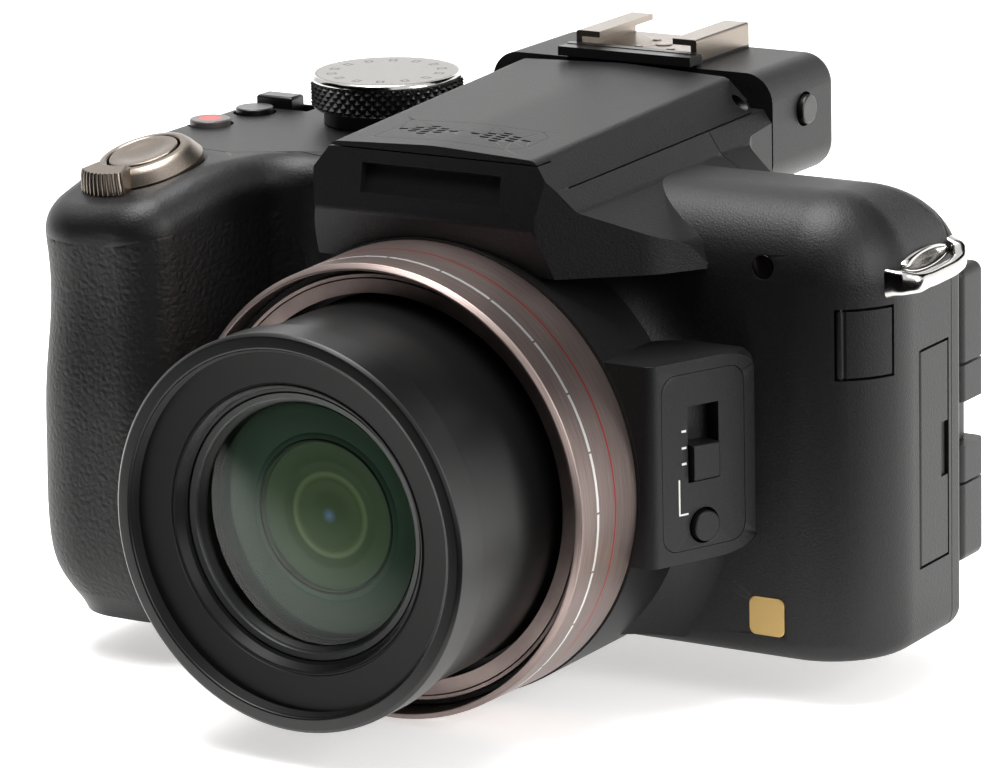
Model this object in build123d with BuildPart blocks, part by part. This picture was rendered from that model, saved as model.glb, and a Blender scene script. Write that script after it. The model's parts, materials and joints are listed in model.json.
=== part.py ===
from build123d import *
import os
from math import atan2, cos, degrees, pi, radians, sin, sqrt, tan

os.makedirs("parts", exist_ok=True)

# A bridge camera: a telescoping zoom lens in a body with a deep grip, a pop-up flash, an
# electronic viewfinder and a screen on a side hinge.
# Millimetres. +Z is up, the lens looks along -Y, and the terminal doors are on the +X side.
# The origin is the mouth of the tripod socket, in the base and under the lens axis.

# Clearances
seam = 0.15             # between neighbouring covers
slide_fit = 0.05        # radial, in the telescoping lens
pin_fit = 0.06          # radial, in hinges and pivots
free_gap = 0.4          # round buttons, doors and whatever swings
plan_slack = 0.3        # how far a plan outline stands outside the side outlines it meets
overrun = 4.0           # how far a cut runs past what it cuts

# Body
right_reach = 61.0      # lens axis to the door side
left_reach = 64.5       # lens axis to the outside of the grip
front_reach = 19.0      # origin to the front face beside the lens
rear_reach = 9.6        # origin to the face behind the screen
thumb_reach = 16.0      # origin to the rear face behind the grip
deck_height = 66.6
front_corner = 13.0     # front right corner, seen from above
shoulder_radius = 12.0
base_round = 3.2
edge_round = 2.0
deck_round = 5.0
wall = 1.8
parting_reach = 5.6     # where the front and rear shells meet
mid_left = 30.0         # inner end of the grip block

# Grip
grip_reach = 48.0
grip_inner = 40.5
grip_root = 33.0
grip_corner = 10.5
grip_inner_corner = 8.0
grip_root_round = 6.5
grip_foot = 3.0         # how far the foot of the grip draws in
# draw-in of the grip's sides at rising shares of the deck's height, as shares of grip_foot
grip_draw_shares = (
    (0, 1.4), (0.045, 0.9), (0.1, 0.3), (0.18, 0), (0.36, 0),
    (0.52, 0.1), (0.69, 0.42), (0.8, 0.42), (0.9, 0.33), (1.05, 0.3),
)
deck_slope = 14.5       # degrees that the shutter deck falls forward
deck_lean = 7.0         # degrees that it falls outward
deck_crease = 40.0      # radius where it meets the flat deck
rubber_skin = 1.2
rubber_drop = 8.8       # top of the rubber at the front, below the deck
rubber_swell = 2.2      # how far its top line rises towards the lens
rubber_right = 30.6     # where it ends beside the lens
rubber_foot = 3.6
rubber_rear = 2.0       # how far behind the origin the rubber wraps

# Fixed part of the lens
lens_height = 27.0      # axis above the base
ring_front = 51.0       # origin to the front lip of the bronze ring
ring_length = 15.3
ring_radius = 32.9
ring_flare = 0.38       # growth of the ring towards its rear edge
ring_wall = 1.0
lip_chamfer = 0.7
housing_radius = 33.5
collar_radius = 40.0    # where the housing's flare meets the front face
collar_depth = 6.0
bore_rear = 18.0        # origin to the floor of the lens bore
base_plate = 1.5
core_radius = 23.5      # rear lens tube
core_wall = 1.5
core_rear = 2.3
core_step = 4.2         # where the rear tube narrows
core_tail = 17.0        # its radius behind the step

# Telescoping part of the lens
barrel_reach = 74.5     # origin to the front rim, as it stands at rest
barrel_length = 34.5
barrel_radius = 27.2
barrel_wall = 1.0
rim_radius = 28.2
rim_length = 6.0
lug_height = 0.76
lug_width = 9.0
thread_radius = 25.9
thread_depth = 2.4
groove_width = 0.8
groove_depth = 0.7
flange_length = 3.0
stage_wall = 0.83
stage_reach = 47.6      # origin to the front of the middle tube, at rest
stage_length = 27.4
stage_lip = 2.05        # radial width of its front face
guide_wall = 0.75
cam_wall = 0.8
follower_radius = 0.9
follower_count = 3
zoom_travel = 22.0
cam_turn = 62.0         # degrees, over the whole zoom travel
cam_steps = 8
tele_extra = 2.0

# Glass
glass_radius = 20.5
glass_crown = 3.2
glass_edge = 4.0
name_width = 3.4
cone_depth = 5.5
group_radius = 21.0
rod_radius = 0.8
rod_place = 19.4
sensor_width = 9.0
sensor_tall = 7.0

# Hump and flash
hump_front = 36.2       # origin to the lower lip of the hood
hood_top_reach = 33.0
hump_rear = 20.8
hump_half = 16.6        # half-width of the top, at the front
hump_half_rear = 17.6
skirt_half = 19.6       # half-width at the lid's lower edge, at the front
skirt_half_rear = 23.0
hump_rise = 6.0         # top of the hood's front, above the deck
hump_rise_rear = 8.8
crown = 0.7
skirt_rise = 1.9        # the lid's lower edge, above the deck
skirt_rise_rear = 3.9
lid_wall = 1.6
hood_wall = 2.0
hood_lip_drop = 3.2     # the hood's lower lip, below the deck
flash_half = 13.0
flash_tall = 5.2
flash_deep = 9.0
flash_pin = 1.0
flash_pin_reach = 17.2  # behind the origin
flash_pin_rise = 5.4    # above the deck
flash_ear = 1.5
flash_ear_thick = 1.7
flash_front = 29.9      # origin to the flash window
flash_drop = 2.1        # foot of the flash window, below the deck
flash_tube_radius = 1.5
window_thick = 0.8
lid_rear = 19.2         # behind the origin
mic_front = 31.0
mic_rear = 20.5
slot_long = 1.5
slot_wide = 0.6
slot_pitch = 2.1
name_half = 11.5
name_tall = 4.2
name_thick = 0.4
mic_half = 12.0
mic_plate_thick = 0.5

# Viewfinder
finder_half = 24.0
finder_rear = 41.0
finder_front = 21.2
finder_drop = 8.6       # its foot, below the deck
finder_rise = 9.0       # its top, above the deck
finder_round = 4.5
eyecup_depth = 2.2
eyecup_inset = 1.6
eye_half = 9.0
eye_tall = 7.0
diopter_radius = 4.0
diopter_thick = 2.0

# Hot shoe
shoe_front = 21.6       # behind the origin
shoe_length = 20.0
shoe_half = 10.3
shoe_inner = 9.3        # half of the 18.6 mm slot
shoe_slot = 12.5        # between the rails' lips
shoe_floor = 0.9
shoe_gap = 2.0          # slot height under the lips
rail_thick = 0.9
shoe_bar = 1.4          # height of the plinth

# Screen
screen_left = 17.0      # from the lens axis towards the grip
screen_low = 8.8
screen_high = 52.5
screen_gap = 0.3
screen_thick = 7.7
screen_margin = 3.5
screen_glass_tall = 38.0
screen_glass_thick = 0.8
hinge_low = 20.9
hinge_high = 38.2
hinge_pin = 1.2
hinge_block = 8.4

# Shutter and zoom lever
shutter_x = -51.0
shutter_y = -31.5
shutter_drop = 1.2      # middle of the sloping deck, below the flat one
lever_radius = 8.4
lever_top = 6.6
lever_tall = 3.4
lever_sink = 1.2
tab_width = 7.0
tab_reach = 2.2
shutter_radius = 5.2
shutter_rise = 0.3

# Mode dial
dial_x = -33.7
dial_y = 6.7
dial_radius = 11.4
dial_rise = 7.5         # top of the dial, above the deck
dial_tall = 5.0
dial_cap_tall = 0.8
dial_collar = 9.6
knurl_count = 48
knurl_depth = 0.5

# Small controls on the deck
movie_x = -56.6
movie_y = -7.0
movie_radius = 3.1
drive_x = -55.4
drive_y = 3.2
drive_radius = 2.9
power_x = -54.6
power_y = 9.0
power_long = 6.4
power_wide = 3.4
button_rise = 0.9
button_root = 2.6

# Rear controls
pad_x = -41.0
pad_z = 27.0
pad_radius = 10.0
pad_hole = 4.6
set_radius = 4.1
key_radius = 2.7
rear_dial_x = -49.0
rear_dial_drop = 10.1   # below the deck
rear_dial_radius = 8.0
rear_dial_tall = 4.4
rear_dial_peek = 1.4
thumb_left = 61.0
thumb_right = 50.0
thumb_low = 34.0
thumb_high = 51.0

# Focus panel
panel_front = 35.6
panel_front_x = 35.4
panel_rear_x = 42.6
panel_low = 16.5
panel_high = 45.6
panel_plate = 0.9
panel_margin = 1.8
panel_round = 2.5
slider_height = 30.9
slider_long = 5.0
slider_wide = 4.6
slider_travel = 2.6
focus_key_height = 21.5
focus_key_radius = 2.2

# Door side
jack_low = 42.0
jack_high = 51.5
jack_front = 17.2
jack_rear = 10.8
terminal_low = 12.2
terminal_high = 43.5
terminal_front = 4.2
terminal_rear = 4.4     # behind the origin
door_thick = 1.3
notch_depth = 0.5
lug_front = 11.6
lug_rear = 6.6
lug_low = 53.8
lug_bar = 1.5
lug_out = 3.0
lamp_x = 44.0
lamp_z = 57.2
lamp_radius = 1.7
badge_x = 44.3
badge_z = 6.6
badge_side = 5.6
badge_round = 1.0
badge_thick = 0.4

# Base
socket_radius = 2.6
socket_depth = 5.5
socket_flange = 5.0
battery_wide = 14.6
battery_deep = 35.0
battery_tall = 45.0
battery_x = -52.0
battery_front = 39.0
card_thick = 2.1
card_deep = 24.0
card_tall = 32.0
card_gap = 2.4
bay_door_margin = 2.2
screw_radius = 1.3
screw_length = 3.0
socket_wall = 1.2
room_floor = 8.0
room_right = 49.0
pivot_radius = 0.65     # door hinges
stub_radius = 0.4
stub_length = 1.2
latch_long = 6.0
latch_wide = 3.0
latch_travel = 2.0
button_travel = 0.8
shutter_travel = 1.5
stem_radius = 2.6
stem_depth = 3.6
neck_outer = 7.2
neck_inner = 6.2
neck_depth = 1.4
dish_depth = 0.5
dial_shaft = 3.0
axle_radius = 1.0
axle_stub = 1.4
tongue_radius = 2.4
tongue_low = 26.5
tongue_high = 32.6
tilt_pin = 1.6
lens_round = 0.5
board_thick = 1.6
flute = 0.35
lug_tall = 2.8


# Small helpers
def corner_box(low, high, mode=Mode.ADD):
    """A box between two corners."""
    size = [b - a for a, b in zip(low, high)]
    middle = [(a + b) / 2 for a, b in zip(low, high)]
    with Locations(tuple(middle)):
        Box(*size, mode=mode)


def tube_y(front, rear, radius, bore=0.0, x=0.0, z=lens_height, mode=Mode.ADD):
    """A round bar or tube along Y, from y=front to y=rear."""
    with BuildSketch(Plane((x, front, z), x_dir=(1, 0, 0), z_dir=(0, 1, 0))) as section:
        Circle(radius)
        if bore:
            Circle(bore, mode=Mode.SUBTRACT)
    extrude(section.sketch, amount=rear - front, mode=mode)


def post(plane, low, high, radius, bore=0.0, mode=Mode.ADD):
    """A round bar along a plane's normal, from low to high."""
    with BuildSketch(plane.offset(low)) as section:
        Circle(radius)
        if bore:
            Circle(bore, mode=Mode.SUBTRACT)
    extrude(section.sketch, amount=high - low, mode=mode)


def outline(points, radii):
    """A closed outline with one corner radius per point."""
    with BuildLine() as path:
        FilletPolyline(*points, radius=radii, close=True)
    make_face(path.edges())


pieces = {}


def keep(builder, name):
    """Label a finished piece and remember it under its node's name."""
    builder.part.label = name
    pieces[name] = builder.part


# Places that follow from the sizes above
hump_top = deck_height + hump_rise
hump_top_rear = deck_height + hump_rise_rear
skirt_height = deck_height + skirt_rise
skirt_height_rear = deck_height + skirt_rise_rear
hood_lip_height = deck_height - hood_lip_drop
flash_pin_height = deck_height + flash_pin_rise
flash_low = deck_height - flash_drop
finder_foot = deck_height - finder_drop
finder_top = deck_height + finder_rise
shoe_foot = finder_top
shutter_z = deck_height - shutter_drop
dial_top = deck_height + dial_rise
rear_dial_z = deck_height - rear_dial_drop
rubber_top = deck_height - rubber_drop
ring_rear = ring_front - ring_length
ring_bore = ring_radius - ring_wall
cam_outer = ring_bore - 3 * slide_fit
cam_bore = cam_outer - cam_wall
guide_outer = cam_bore - slide_fit
guide_bore = guide_outer - guide_wall
stage_outer = guide_bore - slide_fit
stage_bore = stage_outer - stage_wall
flange_radius = stage_bore - slide_fit
opening_travel = barrel_reach - ring_front - wall - tele_extra + seam
stage_rear = stage_reach - stage_length
follower_y = -(stage_rear + flange_length / 2)
barrel_rear = barrel_reach - barrel_length
cam_front = stage_reach - seam - stage_wall
cam_rear = bore_rear + free_gap
far = right_reach + left_reach + hump_top_rear
front_view = Plane.XZ.offset(-far)
side_view = Plane.YZ.offset(-far)
deck_plane = Plane(
    (shutter_x, shutter_y, shutter_z),
    x_dir=(1, 0, -tan(radians(-deck_lean))),
    z_dir=(-sin(radians(deck_lean)), -sin(radians(deck_slope)), cos(radians(deck_slope))),
)


# Outer form of the body, which the shells are cut from
def right_block(inset=0.0):
    """The body beside and behind the lens, with its wide shoulder and front corner."""
    with BuildPart() as block:
        corner_box(
            (-mid_left, -front_reach + inset, inset), (right_reach - inset, rear_reach - inset, deck_height - inset)
        )
        upright = block.edges().filter_by(Axis.Z).sort_by(Axis.X)[-2:]
        fillet(upright.sort_by(Axis.Y)[0], front_corner - inset)
        fillet(upright.sort_by(Axis.Y)[-1], edge_round)
        rim = block.faces().sort_by(Axis.Z)[-1].edges().filter_by(lambda e: e.center().X > -mid_left + seam)
        fillet(rim.filter_by(lambda e: e.center().Y < rear_reach - inset - edge_round), shoulder_radius - inset)
        base = block.faces().sort_by(Axis.Z)[0].edges().filter_by(lambda e: e.center().X > -mid_left + seam)
        fillet(base, base_round - inset / 2)
    return block.part


def grip_section(height, inset, draw):
    """The grip's outline seen from above, at one height, drawn in by the skin and the waist."""
    left = -left_reach + inset + draw
    front = -grip_reach + inset + draw
    inner = -grip_inner - inset - draw / 2
    face = -front_reach - edge_round + inset
    with BuildSketch(Plane.XY.offset(height)) as section:
        outline(
            [(-mid_left + overrun, thumb_reach - inset), (left, thumb_reach - inset), (left, front), (inner, front),
             (-grip_root - inset, face), (-mid_left + overrun, face)],
            [0, base_round + edge_round, grip_corner - inset - draw / 2, grip_inner_corner - draw / 2,
             grip_root_round, 0],
        )
    return section.sketch.faces()[0]


def deck_faces(block):
    """The faces on top of a block, flat or gently sloping."""
    return [face for face in block.faces() if face.center().Z > rubber_top and face.normal_at().Z > cos(radians(25))]


def deck_rims(block, rear, right):
    """The outer edges of those faces, without the rear one and the one inside the body."""
    faces = deck_faces(block)
    edges = [edge for face in faces for edge in face.edges()]
    return [
        edge for edge in edges
        if sum((edge.center() - other.center()).length < slide_fit for other in edges) == 1
        and edge.center().X < right - slide_fit and edge.center().Y < rear - slide_fit
    ]


def grip_block(inset=0.0):
    """The grip end of the body: a loft with a waist and a drawn-in foot, under a sloping deck."""
    sections = [
        grip_section(deck_height * rise + (inset if rise == 0 else 0), inset, grip_foot * draw)
        for rise, draw in grip_draw_shares
    ]
    with BuildPart() as block:
        loft(sections)
        split(bisect_by=Plane.XY.offset(deck_height - inset), keep=Keep.BOTTOM)
        split(bisect_by=deck_plane.offset(-inset), keep=Keep.BOTTOM)
        flat, slope = sorted(deck_faces(block), key=lambda face: face.center().Y)[::-1]
        crease = [
            edge for edge in flat.edges()
            if any((edge.center() - other.center()).length < slide_fit for other in slope.edges())
        ]
        fillet(crease, deck_crease)
        fillet(deck_rims(block, thumb_reach - inset, -mid_left + overrun), deck_round - inset)
    return block.part


def hump_section(plane, top_half, skirt, top, skirt_z, inset):
    """One upright section across the hump."""
    foot = hood_lip_height - base_round
    with BuildSketch(plane) as section:
        with BuildLine() as path:
            section_line = FilletPolyline(
                (-skirt - 2 * front_corner + inset, foot - 2 * front_corner),
                (-skirt - front_corner + inset, foot),
                (-skirt - crown * 3 + inset, skirt_z - base_round),
                (-skirt + inset, skirt_z - inset / 2),
                (-top_half + inset, top - inset),
                (0, top + crown - inset),
                (top_half - inset, top - inset),
                (skirt - inset, skirt_z - inset / 2),
                (skirt + crown * 3 - inset, skirt_z - base_round),
                (skirt + front_corner - inset, foot),
                (skirt + 2 * front_corner - inset, foot - 2 * front_corner),
                radius=[base_round, edge_round, edge_round, edge_round, top_half * 3, edge_round, edge_round,
                        edge_round, base_round],
            )
            Line(section_line @ 1, section_line @ 0)
        make_face(path.edges())
    return section.sketch


def hump_block(inset=0.0):
    """The hump: a hood in front, the flash lid on top, flanks that run into the shoulders."""
    foot = hood_lip_height - base_round
    flank = skirt_half + front_corner - inset
    with BuildPart() as block:
        front_plane = Plane((0, -hump_front - overrun, 0), x_dir=(1, 0, 0), z_dir=(0, -1, 0))
        rear_plane = Plane((0, hump_rear + overrun, 0), x_dir=(1, 0, 0), z_dir=(0, -1, 0))
        loft(
            [
                hump_section(front_plane, hump_half, skirt_half, hump_top, skirt_height, inset).faces()[0],
                hump_section(
                    rear_plane, hump_half_rear, skirt_half_rear, hump_top_rear, skirt_height_rear, inset
                ).faces()[0],
            ],
            ruled=True,
        )
        with BuildSketch(side_view):
            outline(
                [(-hood_top_reach + inset, hump_top_rear + overrun), (-hump_front + inset, hood_lip_height),
                 (-hump_front + inset + hood_wall, foot - overrun), (hump_rear, foot - overrun),
                 (hump_rear, hump_top_rear + overrun)],
                [0, edge_round, 0, 0, 0],
            )
        extrude(amount=2 * far, mode=Mode.INTERSECT)
        with BuildSketch(Plane.XY):
            outline(
                [(hump_half, -hump_front + inset - plan_slack), (flank - edge_round, -front_reach - front_corner / 2),
                 (flank + overrun, -front_reach + edge_round), (flank + overrun, rear_reach - edge_round),
                 (finder_half - inset, rear_reach + base_round), (finder_half - inset, hump_rear + overrun),
                 (-finder_half + inset, hump_rear + overrun), (-finder_half + inset, rear_reach + base_round),
                 (-flank - overrun, rear_reach - edge_round), (-flank - overrun, -front_reach - edge_round),
                 (-skirt_half - crown + inset, -front_reach - edge_round),
                 (-skirt_half + inset, -hump_front + inset - plan_slack)],
                [edge_round * 2, front_corner, 0, 0, base_round, 0, 0, base_round, 0, 0, edge_round, edge_round],
            )
        extrude(amount=far, mode=Mode.INTERSECT)
    return block.part


def housing_block():
    """The fixed lens housing, with its keel under the base."""
    floor = -bore_rear + base_plate + wall
    with BuildPart() as block:
        with BuildSketch(Plane.XY.offset(lens_height)):
            with BuildLine():
                Polyline(
                    (0, -ring_rear),
                    (housing_radius, -ring_rear),
                    (housing_radius, floor),
                    (core_radius, floor + collar_depth * 2),
                    (0, floor + collar_depth * 2),
                    (0, -ring_rear),
                )
            make_face()
        revolve(axis=Axis((0, 0, lens_height), (0, 1, 0)))
    return block.part


def collar_block():
    """The soft flare between the housing and the front face."""
    start = -front_reach - collar_depth / 2
    with BuildPart() as block:
        with BuildSketch(Plane.XY.offset(lens_height)):
            with BuildLine():
                RadiusArc((housing_radius, start), (collar_radius, -front_reach), collar_depth * 1.4)
                Polyline(
                    (collar_radius, -front_reach), (collar_radius, -front_reach + overrun),
                    (core_radius, -front_reach + overrun), (core_radius, start), (housing_radius, start),
                )
            make_face()
        revolve(axis=Axis((0, 0, lens_height), (0, 1, 0)))
        split(bisect_by=Plane.XY.offset(base_round / 2), keep=Keep.TOP)
    return block.part


panel_turn = degrees(atan2(panel_rear_x - panel_front_x, panel_front - front_reach))
panel_middle = ((panel_front_x + panel_rear_x) / 2, -(panel_front + front_reach) / 2)
panel_long = sqrt((panel_rear_x - panel_front_x) ** 2 + (panel_front - front_reach) ** 2)


def panel_place(height=0.0):
    """A plane on the focus panel's face, at a height above the base."""
    return Plane(
        (panel_middle[0], panel_middle[1], height),
        x_dir=(sin(radians(panel_turn)), cos(radians(panel_turn)), 0),
        z_dir=(cos(radians(panel_turn)), -sin(radians(panel_turn)), 0),
    )


panel_plane = panel_place()



def left_block():
    """The body between the grip and the hump, with its sharper deck edge."""
    with BuildPart() as block:
        corner_box(
            (-mid_left - overrun, -front_reach - edge_round, 0), (-screen_left - free_gap, thumb_reach, deck_height)
        )
        top = block.faces().sort_by(Axis.Z)[-1]
        fillet(top.edges().sort_by(Axis.Y)[0], deck_round)
        fillet(block.faces().sort_by(Axis.Z)[0].edges().sort_by(Axis.Y)[0], base_round)
    return block.part


def panel_block():
    """The facet beside the lens that carries the focus controls."""
    with BuildPart() as block:
        with BuildSketch(Plane.XY.offset(panel_low)):
            outline(
                [(panel_front_x, -panel_front), (panel_rear_x, -front_reach),
                 (panel_rear_x, -front_reach + edge_round), (core_radius, -front_reach + edge_round),
                 (core_radius, -panel_front)],
                [edge_round, 0, 0, 0, 0],
            )
        extrude(amount=panel_high - panel_low)
        tip = block.faces().sort_by(Axis.Z)[-1].edges() + block.faces().sort_by(Axis.Z)[0].edges()
        fillet(tip.filter_by(lambda e: e.center().X > core_radius + edge_round).sort_by(Axis.Y)[-4:], panel_round)
    return block.part


with BuildPart() as form:
    add(right_block())
    add(left_block())
    add(grip_block())
    add(hump_block())
    add(housing_block())
    add(collar_block())
    add(panel_block())

# Regions that part the form into covers
lid_turn = atan2(skirt_height_rear - skirt_height, hump_rear + hood_top_reach)
hood_back = -hood_top_reach + hood_wall
deck_edge = deck_height - deck_round
pocket_half = flash_half + 2 * free_gap
hood_turn = atan2(hump_front - hood_top_reach, hump_top - hood_lip_height)
hood_plane = Plane(
    (0, -(hump_front + hood_top_reach) / 2, (hump_top + hood_lip_height) / 2),
    x_dir=(1, 0, 0),
    z_dir=(0, -cos(hood_turn), sin(hood_turn)),
)


def lid_region(rear, gap):
    """Everything above the skirt line, behind the hood's front wall, and the lip over that wall."""
    low = skirt_height + (hood_back + hood_top_reach) * tan(lid_turn) + gap
    with BuildPart() as block:
        with BuildSketch(side_view):
            with BuildLine():
                Polyline(
                    (hood_back, low),
                    (rear, low + (rear - hood_back) * tan(lid_turn)),
                    (rear, far),
                    (-hump_front - overrun, far),
                    (-hump_front - overrun, hump_top - mic_plate_thick + gap),
                    (hood_back, hump_top - mic_plate_thick + gap),
                    (hood_back, low),
                )
            make_face()
        extrude(amount=2 * far)
        corner_box((-far, -far, 0), (-finder_half - crown, far, far), mode=Mode.SUBTRACT)
        corner_box((finder_half + crown, -far, 0), (far, far, far), mode=Mode.SUBTRACT)
    return block.part


def deck_region(shrink):
    """The deck plate that carries the mode dial, seen from above."""
    with BuildPart() as block:
        with BuildSketch(Plane.XY.offset(deck_edge)):
            outline(
                [(-left_reach + grip_foot + edge_round, thumb_reach - edge_round),
                 (-left_reach + grip_foot + edge_round, shutter_y + lever_radius + edge_round),
                 (shutter_x + lever_radius, shutter_y + lever_radius), (-grip_root, -front_reach + edge_round / 2),
                 (-skirt_half - edge_round, -front_reach + edge_round / 2),
                 (-finder_half - edge_round / 2, thumb_reach - edge_round)],
                [edge_round, edge_round, edge_round, edge_round, edge_round, edge_round],
            )
            if shrink:
                offset(amount=-shrink)
        extrude(amount=far)
    return block.part


def key_block(plane, low, high, radius, top_round):
    """A round key with an eased top edge, along a plane's normal."""
    with BuildPart() as block:
        with BuildSketch(plane.offset(low)):
            Circle(radius)
        extrude(amount=high - low)
        rims = block.edges().filter_by(GeomType.CIRCLE).sort_by(Axis(plane.origin, plane.z_dir))
        fillet(rims[-1], top_round)
    return block.part


def deck_place(x, y):
    return Plane((x, y, deck_height), x_dir=(1, 0, 0), z_dir=(0, 0, 1))


def rear_place(x, z, reach=thumb_reach):
    return Plane((x, reach, z), x_dir=(-1, 0, 0), z_dir=(0, 1, 0))


# Round keys: name, place, radius. Each stands in its own hole and is pressed along its axis.
keys = [
    ("movie_button", deck_place(movie_x, movie_y), movie_radius),
    ("drive_button", deck_place(drive_x, drive_y), drive_radius),
    ("playback_button", rear_place(pad_x + pad_radius + key_radius, thumb_high), key_radius),
    ("lock_button", rear_place(pad_x + pad_radius + 2 * key_radius, rear_dial_z), key_radius),
    ("display_button", rear_place(pad_x + pad_radius + 2 * key_radius, pad_z - pad_radius - key_radius), key_radius),
    ("quick_menu_button", rear_place(pad_x - pad_radius - key_radius, pad_z - pad_radius - key_radius), key_radius),
    ("focus_button", panel_place(focus_key_height), focus_key_radius),
    ("flash_button", Plane(
        (finder_half, (finder_front + finder_rear) / 2, (finder_foot + finder_top) / 2 + edge_round),
        x_dir=(0, 1, 0), z_dir=(1, 0, 0)), focus_key_radius),
]

# Doors at rest: the pivot line runs along one edge, inside the plate's thickness
card_left = battery_x + battery_wide / 2 + card_gap
card_right = card_left + card_thick
card_front = -battery_front + (battery_deep - card_deep) / 2
bay_door_left = battery_x - battery_wide / 2 - wall / 2
bay_door_right = card_right + bay_door_margin
bay_door_front = -battery_front - wall / 2
bay_door_rear = -battery_front + battery_deep + wall / 2
latch_x = bay_door_left + bay_door_margin + latch_wide / 2
latch_y = (bay_door_front + bay_door_rear) / 2
jack_centre = (right_reach - front_corner, -front_reach + front_corner)


def bay_door_block(grow):
    """The door under the grip, hinged along its edge nearest the tripod socket."""
    with BuildPart() as block:
        corner_box(
            (bay_door_left - grow, bay_door_front - grow, -grow * overrun),
            (bay_door_right - pivot_radius, bay_door_rear + grow, door_thick + grow / 2),
        )
        tube_y(bay_door_front - grow, bay_door_rear + grow, pivot_radius + grow,
               x=bay_door_right - pivot_radius, z=pivot_radius)
    return block.part


def terminal_door_block(grow):
    """The long door in the side, hinged along its front edge."""
    with BuildPart() as block:
        corner_box(
            (right_reach - door_thick - grow / 2, -terminal_front + pivot_radius, terminal_low - grow),
            (right_reach + grow * overrun, terminal_rear + grow, terminal_high + grow),
        )
        post(Plane((right_reach - pivot_radius, -terminal_front + pivot_radius, 0)),
             terminal_low - grow, terminal_high + grow, pivot_radius + grow)
    return block.part


jack_turn = atan2(-jack_front - jack_centre[1], sqrt(front_corner ** 2 - (jack_front + jack_centre[1]) ** 2))
jack_pivot = (
    jack_centre[0] + (front_corner - pivot_radius) * cos(jack_turn) + pivot_radius * -sin(jack_turn),
    jack_centre[1] + (front_corner - pivot_radius) * sin(jack_turn) + pivot_radius * cos(jack_turn),
)


def jack_door_block(grow):
    """The small door on the rounded front corner, hinged along its front edge."""
    with BuildPart() as block:
        post(Plane((jack_centre[0], jack_centre[1], 0)), jack_low - grow, jack_high + grow,
             front_corner + grow * overrun, front_corner - door_thick - grow / 2)
        corner_box(
            (jack_pivot[0], jack_pivot[1], jack_low - grow), (far, -jack_rear + grow, jack_high + grow),
            mode=Mode.INTERSECT,
        )
        post(Plane((jack_pivot[0], jack_pivot[1], 0)), jack_low - grow, jack_high + grow, pivot_radius + grow)
    return block.part


def rubber_block():
    """The leather-grained skin around the grip."""
    with BuildPart() as block:
        add(grip_block())
        add(grip_block(rubber_skin), mode=Mode.SUBTRACT)
        with BuildSketch(front_view):
            outline(
                [(-far, rubber_foot), (-far, rubber_top - rubber_swell / 2), (shutter_x + base_round, rubber_top - rubber_swell / 2),
                 (-grip_inner + base_round, rubber_top + rubber_swell / 2), (-grip_root, rubber_top + rubber_swell / 2),
                 (-rubber_right, rubber_top - base_round * 2), (-rubber_right, rubber_foot)],
                [0, 0, grip_corner, edge_round, edge_round, base_round, 0],
            )
        extrude(amount=2 * far, mode=Mode.INTERSECT)
        corner_box((-far, rubber_rear, 0), (far, far, far), mode=Mode.SUBTRACT)
        add(housing_block(), mode=Mode.SUBTRACT)
        add(collar_block(), mode=Mode.SUBTRACT)
    return block.part


screw_places = [
    (right_reach - front_corner, -front_corner / 2), (core_radius, -front_reach + 4 * edge_round),
    (-core_radius - edge_round, -front_reach + 4 * edge_round),
]
screen_front = rear_reach + screen_gap
screen_rear = screen_front + screen_thick
screen_right = right_reach - 2 * screen_gap
hinge_y = (screen_front + screen_rear) / 2
hinge_x = screen_right - screen_thick / 2 - screen_gap
hinge_left = screen_right - hinge_block
screen_glass_wide = hinge_left + screen_left - 2 * screen_margin
rear_dial_y = thumb_reach + rear_dial_peek - rear_dial_radius
slider_middle = panel_place(slider_height)
shoe_rear = finder_rear

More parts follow.
